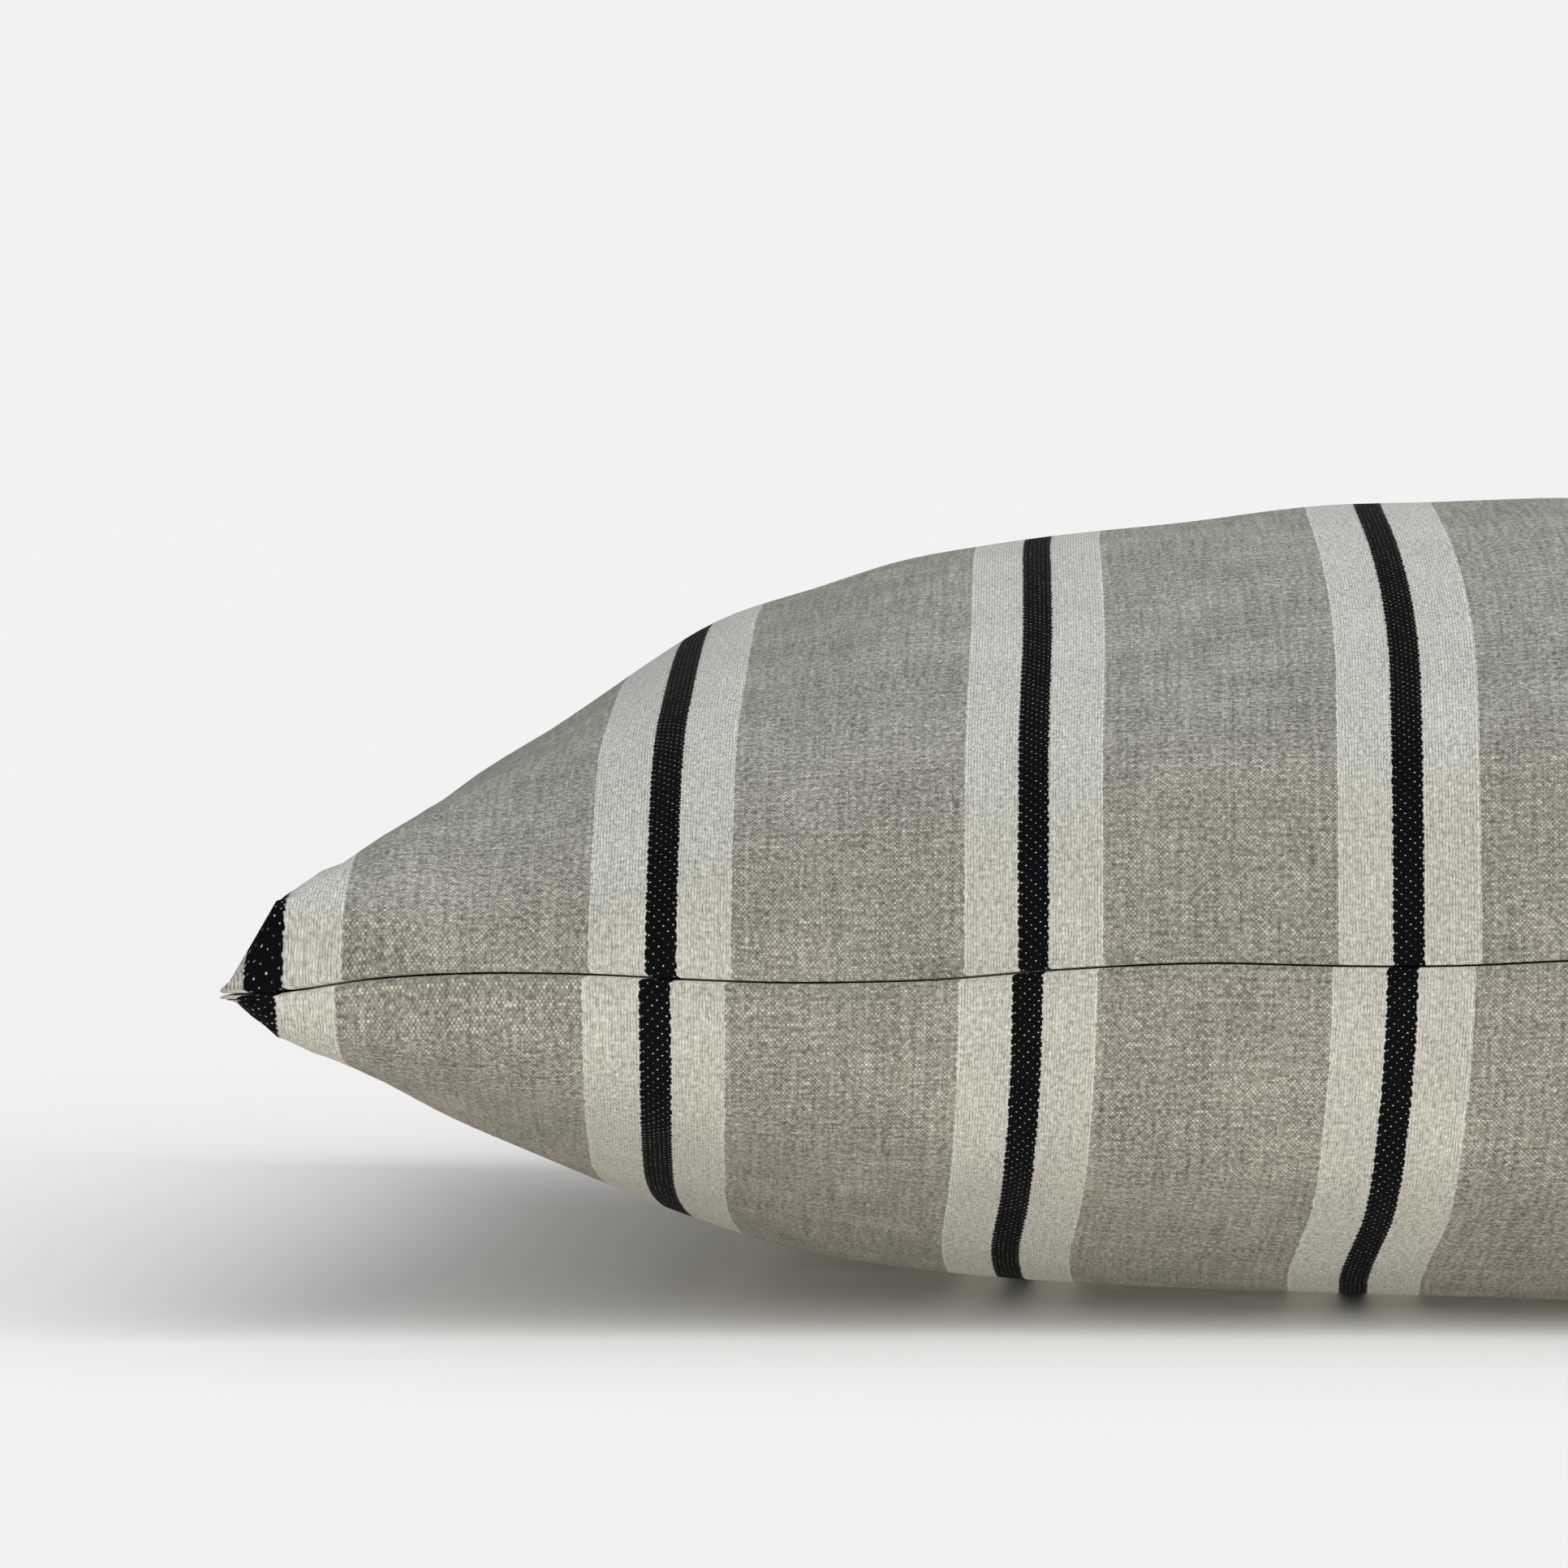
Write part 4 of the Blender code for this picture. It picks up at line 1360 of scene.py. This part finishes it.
def tube(path: np.ndarray, radius: float, sides: int = 5) -> tuple[np.ndarray, np.ndarray]:
    """A round thread along a path, with closed ends.

    Args:
        path: the points it follows.
        radius: its radius.
        sides: how many faces go round it.

    Returns:
        Its vertices and its faces.
    """
    ahead = np.gradient(path, axis=0)
    ahead /= np.maximum(np.linalg.norm(ahead, axis=1, keepdims=True), 1e-12)
    turn = np.array((0.0, 0.0, 1.0)) if abs(ahead[0][2]) < 0.9 else np.array((1.0, 0.0, 0.0))
    rings = []
    angles = np.arange(sides) * 2 * math.pi / sides
    for point, way in zip(path, ahead):
        turn = turn - way * turn.dot(way)
        turn = turn / max(np.linalg.norm(turn), 1e-9)
        other = np.cross(way, turn)
        rings.append(point + radius * (np.cos(angles)[:, None] * turn + np.sin(angles)[:, None] * other))
    points = np.concatenate([*rings, path[:1], path[-1:]])
    ring = np.arange(sides)
    first = (np.arange(len(path) - 1) * sides)[:, None]
    here, beside = first + ring, first + (ring + 1) % sides
    walls = np.stack([here, beside, beside + sides, here + sides], -1).reshape(-1, 4)
    tips = len(path) * sides
    last = tips - sides
    caps = [(tips, (k + 1) % sides, k, k) for k in range(sides)]
    caps += [(tips + 1, last + k, last + (k + 1) % sides, last + (k + 1) % sides) for k in range(sides)]
    return points, np.concatenate([walls, np.array(caps)])


def thread_piece(name: str, paths: list[np.ndarray], radius: float) -> bpy.types.Object:
    """A piece made of one or more threads."""
    points, faces, count = [], [], 0
    for path in paths:
        part, around = tube(path, radius)
        points.append(part)
        faces.append(around + count)
        count += len(part)
    joined = [tuple(dict.fromkeys(face)) for face in np.concatenate(faces).tolist()]
    return new_piece(name, np.concatenate(points), joined)


def spaced(path: np.ndarray, shares: np.ndarray) -> np.ndarray:
    """Points at shares of a path's length."""
    along = distances(path)
    return np.stack([np.interp(shares, along / along[-1], path[:, k]) for k in range(3)], 1)


FINE_THREAD = 0.00018  # the radius of the thread on the insert and the zip


@dataclass(frozen=True)
class Lockstitch:
    """A machine stitch: a thread on each face of the cloth, drawn down into each needle hole."""

    pitch: float = 0.0028
    radius: float = 0.00022

    def paths(self, line: np.ndarray, out: np.ndarray) -> list[np.ndarray]:
        """The two threads.

        Args:
            line: the points that the stitching follows, in the middle of the cloth.
            out: the offset from the line to each thread where it lies on the cloth.

        Returns:
            The path of each thread.
        """
        count = max(1, round(distances(line)[-1] / self.pitch))
        phases = np.array((0.0, 0.09, 0.28, 0.5, 0.72, 0.91))
        steps = np.append((np.arange(count)[:, None] + phases).ravel(), count)
        centre = spaced(line, steps / count)
        hole = np.abs(np.sin(math.pi * steps))
        raised = (np.minimum(1.0, hole * 3.2) * (0.86 + 0.14 * hole))[:, None]
        return [centre + out * (0.12 + 0.88 * raised), centre - out * (0.12 + 0.88 * raised)]


@dataclass(frozen=True)
class Overlock:
    """A binding stitch that wraps the cut edges of two layers."""

    pitch: float = 0.0026
    radius: float = 0.00022

    def path(self, inner: np.ndarray, outer: np.ndarray, half: float) -> np.ndarray:
        """The thread.

        Args:
            inner: the line where the needle goes through.
            outer: the line just past the cut edge.
            half: from the middle of the layers to the thread.

        Returns:
            The thread's path.
        """
        count = round(distances(outer)[-1] / self.pitch)
        steps = np.arange(count * 6) / 6
        share = np.tile((0.0, 0.5, 1.0, 1.0, 0.5, 0.0), count)[:, None]
        rise = np.tile((0.7, 1.0, 0.6, -0.6, -1.0, -0.7), count)
        points = spaced(inner, steps / count) * (1 - share) + spaced(outer, steps / count) * share
        points[:, 2] += rise * half
        return points


# ---------------------------------------------------------------------------------------------------
# Sub-assemblies
# ---------------------------------------------------------------------------------------------------


PILLOW = "pillow"  # the body that every soft piece rides on


class Side(Enum):
    """The two halves that the cover, the insert and the zip have."""

    UPPER = "upper"
    LOWER = "lower"

    def of(self, shape: Shape) -> Grid:
        """This side's net of a shape."""
        return shape.upper if self is Side.UPPER else shape.lower


def fitted(piece: bpy.types.Object, node: str, material: bpy.types.Material) -> None:
    """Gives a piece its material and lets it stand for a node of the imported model.

    Args:
        piece: the piece.
        node: the node it replaces.
        material: its material.
    """
    piece.data.materials.append(material)
    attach(piece, PILLOW)
    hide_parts(node)
    LOG.info("%s: %d faces", piece.name, len(piece.data.polygons))


def cut_ends(line: np.ndarray, edge: float, zip_half: float) -> np.ndarray:
    """The part of a closed outline that is sewn: all but the zip's stretch of the back edge.

    Args:
        line: the outline's points, anticlockwise.
        edge: how far back the back edge lies, less a little.
        zip_half: half the zip's length.

    Returns:
        The open line, from one end of the zip round to the other.
    """
    open_part = (line[:, 1] > edge) & (np.abs(line[:, 0]) < zip_half)
    start = int(np.flatnonzero(open_part & ~np.roll(open_part, -1))[0]) + 1
    turned = np.roll(line, -start, axis=0)
    return turned[: len(line) - int(open_part.sum())]


@dataclass
class Cover:
    """The striped cover: its two panels and the threads that join and bind them."""

    shape: Shape
    palette: "Palette"
    cut_half: float = 0.25
    allowance: float = 0.012
    thickness: float = 0.0008
    zip_half: float = 0.1685
    slot_half: float = 0.00075
    seam_gap: float = 0.00018
    stitch_inset: float = 0.0030
    needle_inset: float = 0.0085

    def build(self) -> None:
        """Builds the panels and the threads and dresses them."""
        self.panels()
        self.threads()

    def panels(self) -> None:
        """The two panels."""
        width = 2 * (self.cut_half + self.allowance)
        for side in Side:
            panel = Panel(
                f"cover_{side.value}",
                side is Side.UPPER,
                self.thickness,
                self.allowance,
                self.cut_half,
                gap=self.seam_gap,
                slot=self.slot_half,
                zip_half=self.zip_half,
            )
            piece = panel.mesh(side.of(self.shape))
            fitted(piece, f"cover_{side.value}_panel", self.palette.cover)

    def threads(self) -> None:
        """The lockstitch round the seam and the binding of the cut edges."""
        rim = self.shape.rim
        edge = self.shape.upper[self.shape.cells // 2, -1, 1] - 0.002

        def inset(distance: float) -> np.ndarray:
            """The sewn part of the outline, moved in."""
            return cut_ends(rim + inwards(rim, distance), edge - distance, self.zip_half + 0.004)

        layers = self.seam_gap + self.thickness
        stitch = Lockstitch()
        out = np.array((0.0, 0.0, layers + stitch.radius * 0.8))
        seam = thread_piece("seam_stitching", stitch.paths(inset(self.stitch_inset), out), stitch.radius)
        fitted(seam, "seam_thread", self.palette.sewing)
        binding = Overlock()
        path = binding.path(
            inset(self.needle_inset), inset(self.allowance + 0.0005), layers + binding.radius
        )
        bound = thread_piece("edge_binding", [path], binding.radius)
        fitted(bound, "overlock_thread", self.palette.binding)


def nested(shape: Shape, share: float, inset: float, cells: int, edge: int = 6) -> Shape:
    """A smaller shape inside another, which it nearly fills, with a sewn rim of its own.

    Args:
        shape: the shape outside.
        share: its width as a share of the outer one's.
        inset: from the outer surface to the inner one.
        cells: how many cells it has each way.
        edge: how sharply it comes together at the rim.

    Returns:
        The inner shape.
    """
    full = np.sqrt(np.maximum(0.0, (1 - even_net(1.0, cells) ** edge).prod(-1)))[..., None]
    at = (np.linspace(-share, share, cells + 1) + 1) / 2 * shape.cells
    upper = picked(shape.upper - normals(shape.upper, True) * inset, at)
    lower = picked(shape.lower - normals(shape.lower, False) * inset, at)
    middle = (upper + lower) / 2
    return Shape(middle + (upper - middle) * full, middle + (lower - middle) * full)


def picked(grid: Grid, at: np.ndarray) -> Grid:
    """A net's points at fractional places along both its directions."""
    low = np.clip(at.astype(int), 0, len(grid) - 2)
    share = (at - low)[:, None, None]
    rows = grid[low] * (1 - share) + grid[low + 1] * share
    rows = rows.transpose(1, 0, 2)
    rows = rows[low] * (1 - share) + rows[low + 1] * share
    return rows.transpose(1, 0, 2)


@dataclass
class Insert:
    """The plain white bag inside the cover, and its filling."""

    outside: Shape
    palette: "Palette"
    share: float = 0.918
    inset: float = 0.0016
    thickness: float = 0.0005
    allowance: float = 0.008
    cut_half: float = 0.2335
    roll: float = 0.0003
    seam_gap: float = 0.00008
    stitch_inset: float = 0.0022
    fill_share: float = 0.945
    fill_inset: float = 0.0011
    cells: int = 72

    def build(self) -> None:
        """Builds the bag, its stitching and the filling."""
        bag = nested(self.outside, self.share, self.inset, self.cells)
        width = 2 * (self.cut_half + self.allowance)
        for side in Side:
            panel = Panel(
                f"insert_{side.value}",
                side is Side.UPPER,
                self.thickness,
                self.allowance,
                self.cut_half,
                roll=self.roll,
                gap=self.seam_gap,
            )
            piece = panel.mesh(side.of(bag))
            fitted(piece, f"insert_{side.value}_ticking", self.palette.ticking)
        line = bag.rim + inwards(bag.rim, self.stitch_inset)
        stitch = Lockstitch(radius=FINE_THREAD)
        out = np.array((0.0, 0.0, self.seam_gap + self.thickness + stitch.radius * 0.8))
        seam = thread_piece("insert_stitching", stitch.paths(line, out), stitch.radius)
        fitted(seam, "insert_seam_thread", self.palette.white_thread)
        self.filling(nested(bag, self.fill_share, self.fill_inset, self.cells, edge=4))

    def filling(self, shape: Shape) -> None:
        """The filling, as one closed body.

        Args:
            shape: its outer surfaces.
        """
        piece = new_piece("filling", shape.points, closed_faces(shape.cells))
        fitted(piece, "insert_fill", self.palette.wadding)


@dataclass
class Zip:
    """The zip along the back edge: tapes, coils, stitching, stops, slider and pull."""

    palette: "Palette"
    wire: float = 0.00032
    coil_pitch: float = 0.0015
    turn_steps: int = 10
    bevel: float = 0.00018
    long_edge: float = 0.1  # longer ones run the length of the tape
    tape_cuts: int = 60

    def build(self) -> None:
        """Builds the soft pieces, and dresses the metal ones."""
        for side in Side:
            self.tape(side.value)
            self.coil(side.value)
            self.stitching(side.value)
        metal = ("zipper_slider", "zipper_pull", "zipper_bottom_stop")
        for node in (*metal, "zipper_top_stop_upper", "zipper_top_stop_lower"):
            self.dress(bpy.data.objects[node], self.palette.metal)

    def dress(self, node: bpy.types.Object, material: bpy.types.Material) -> None:
        """Rounds a metal part's edges and gives it its material."""
        node.data.materials.clear()
        node.data.materials.append(material)
        rounded = node.modifiers.new("Rounded edges", "BEVEL")
        rounded.width = self.bevel
        rounded.segments = 2
        rounded.limit_method = "ANGLE"

    def tape(self, side: str) -> None:
        """A woven tape, which follows the cover's wall.

        Args:
            side: "upper" or "lower".
        """
        node = bpy.data.objects[f"zipper_tape_{side}"]
        shape = bmesh.new()
        shape.from_mesh(node.data)
        long_edges = [edge for edge in shape.edges if edge.calc_length() > self.long_edge]
        bmesh.ops.subdivide_edges(shape, edges=long_edges, cuts=self.tape_cuts, use_grid_fill=True)
        bmesh.ops.transform(shape, matrix=node.matrix_world, verts=shape.verts)
        mesh = bpy.data.meshes.new(f"tape_{side}")
        shape.to_mesh(mesh)
        shape.free()
        piece = bpy.data.objects.new(f"tape_{side}", mesh)
        bpy.context.scene.collection.objects.link(piece)
        fitted(piece, node.name, self.palette.tape)

    def coil(self, side: str) -> None:
        """A nylon coil, with one turn to each tooth.

        Args:
            side: "upper" or "lower".
        """
        low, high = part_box(f"zipper_coil_{side}")
        middle = (low + high) / 2
        turns = (high.x - low.x - 2 * self.wire) / self.coil_pitch
        steps = np.arange(int(turns * self.turn_steps)) / self.turn_steps
        angle = steps * 2 * math.pi
        depth, height = (high.y - low.y) / 2 - self.wire, (high.z - low.z) / 2 - self.wire
        x = low.x + self.wire + steps * self.coil_pitch
        y = middle.y + depth * np.cos(angle)
        head = np.sin(angle)
        z = middle.z + height * np.sign(head) * np.abs(head) ** 0.7
        piece = thread_piece(f"coil_{side}", [np.stack([x, y, z], 1)], self.wire)
        fitted(piece, f"zipper_coil_{side}", self.palette.nylon)

    def stitching(self, side: str) -> None:
        """The row of stitches that holds a tape to the cover.

        Args:
            side: "upper" or "lower".
        """
        low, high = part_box(f"zipper_stitch_{side}")
        stitch = Lockstitch(radius=FINE_THREAD)
        line = np.array([(low.x, (low.y + high.y) / 2, (low.z + high.z) / 2)] * 2)
        line[1, 0] = high.x
        line = spaced(line, np.linspace(0, 1, 50))
        out = np.array((0.0, (high.y - low.y) / 2 - stitch.radius, 0.0))
        piece = thread_piece(f"zip_stitching_{side}", stitch.paths(line, out), stitch.radius)
        fitted(piece, f"zipper_stitch_{side}", self.palette.sewing)


# ---------------------------------------------------------------------------------------------------
# Studio
# ---------------------------------------------------------------------------------------------------


@dataclass(frozen=True)
class Lamp:
    """A broad, distant lamp.

    Attributes:
        name: its name.
        turn: degrees to the right of the front.
        lift: degrees above the floor.
        width: how many degrees of sky it fills.
        power: its strength.
        colour: its colour.
        only_pillow: whether it lights the pillow alone, as light thrown up by the floor would.
    """

    name: str
    turn: float
    lift: float
    width: float
    power: float
    colour: Colour = (1.0, 1.0, 1.0)
    only_pillow: bool = False

    def build(self, pillow: bpy.types.Collection) -> None:
        """Hangs the lamp.

        Args:
            pillow: the pieces of the pillow, which a lamp below the floor lights through it.
        """
        data = bpy.data.lights.new(self.name, "SUN")
        data.energy = self.power
        data.angle = math.radians(self.width)
        data.color = self.colour
        lamp = bpy.data.objects.new(self.name, data)
        turn, lift = math.radians(self.turn), math.radians(self.lift)
        place = Vector((math.sin(turn) * math.cos(lift), -math.cos(turn) * math.cos(lift), math.sin(lift)))
        lamp.rotation_euler = place.to_track_quat("Z", "Y").to_euler()
        if self.only_pillow:
            lamp.light_linking.receiver_collection = pillow
            lamp.light_linking.blocker_collection = pillow
        bpy.context.scene.collection.objects.link(lamp)


@dataclass(frozen=True)
class Studio:
    """A pale floor under even light, and the camera."""

    floor_size: float = 60.0
    floor_colour: float = 0.775
    sky: float = 0.62
    backdrop: float = 0.888
    lamps: tuple[Lamp, ...] = (
        Lamp("Key", 30.0, 27.0, 60.0, 3.64),
        Lamp("Floor glow", 0.0, -58.0, 70.0, 2.6, (1.0, 0.97, 0.92), True),
    )
    camera: tuple[float, float, float] = (-0.04875, -2.08962, 0.15818)
    target: tuple[float, float, float] = (-0.14461, -0.222, 0.10093)
    lens: float = 243.42

    def build(self) -> None:
        """Sets up floor, light and camera."""
        self.floor()
        self.light()
        self.aim()

    def floor(self) -> None:
        """A wide pale floor."""
        half = self.floor_size / 2
        corners = np.array([(-half, -half, 0), (half, -half, 0), (half, half, 0), (-half, half, 0)])
        floor = new_piece("studio_floor", corners, [(0, 1, 2, 3)])
        made = Shading("Studio floor")
        made.constant(Base_Color=(self.floor_colour,) * 3 + (1.0,), Roughness=1.0, Specular_IOR_Level=0.0)
        floor.data.materials.append(made.material)

    def light(self) -> None:
        """An even sky that shows as the same pale grey as the floor, and the lamps."""
        world = bpy.data.worlds.new("Studio")
        bpy.context.scene.world = world
        world.use_nodes = True
        tree = world.node_tree
        sky = tree.nodes["Background"]
        seen = tree.nodes.new("ShaderNodeLightPath")
        strength = Wire(tree, seen.outputs["Is Camera Ray"]) * (self.backdrop - self.sky) + self.sky
        sky.inputs["Color"].default_value = (1.0, 1.0, 1.0, 1.0)
        tree.links.new(strength.socket, sky.inputs["Strength"])
        pillow = bpy.data.collections.new("Pillow")
        for piece in bpy.context.scene.objects:
            if piece.type == "MESH" and not piece.name.startswith("studio"):
                pillow.objects.link(piece)
        for lamp in self.lamps:
            lamp.build(pillow)
        bpy.context.scene.view_settings.view_transform = "Standard"

    def aim(self) -> None:
        """Places the camera."""
        data = bpy.data.cameras.new("Camera")
        data.lens = self.lens
        data.sensor_width = 36.0
        data.clip_end = 200.0
        camera = bpy.data.objects.new("Camera", data)
        camera.location = self.camera
        direction = Vector(self.target) - Vector(self.camera)
        camera.rotation_euler = direction.to_track_quat("-Z", "Y").to_euler()
        bpy.context.scene.collection.objects.link(camera)
        bpy.context.scene.camera = camera


def main() -> None:
    """Builds every piece in order."""
    logging.basicConfig(level=logging.INFO, format="%(name)s: %(message)s")
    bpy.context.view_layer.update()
    palette = Palette.mixed(Effects.make())
    shape = Stuffing(Form.from_frame()).shape()
    Cover(shape, palette).build()
    Insert(shape, palette).build()
    Zip(palette).build()
    Studio().build()


if __name__ == "__main__":
    main()
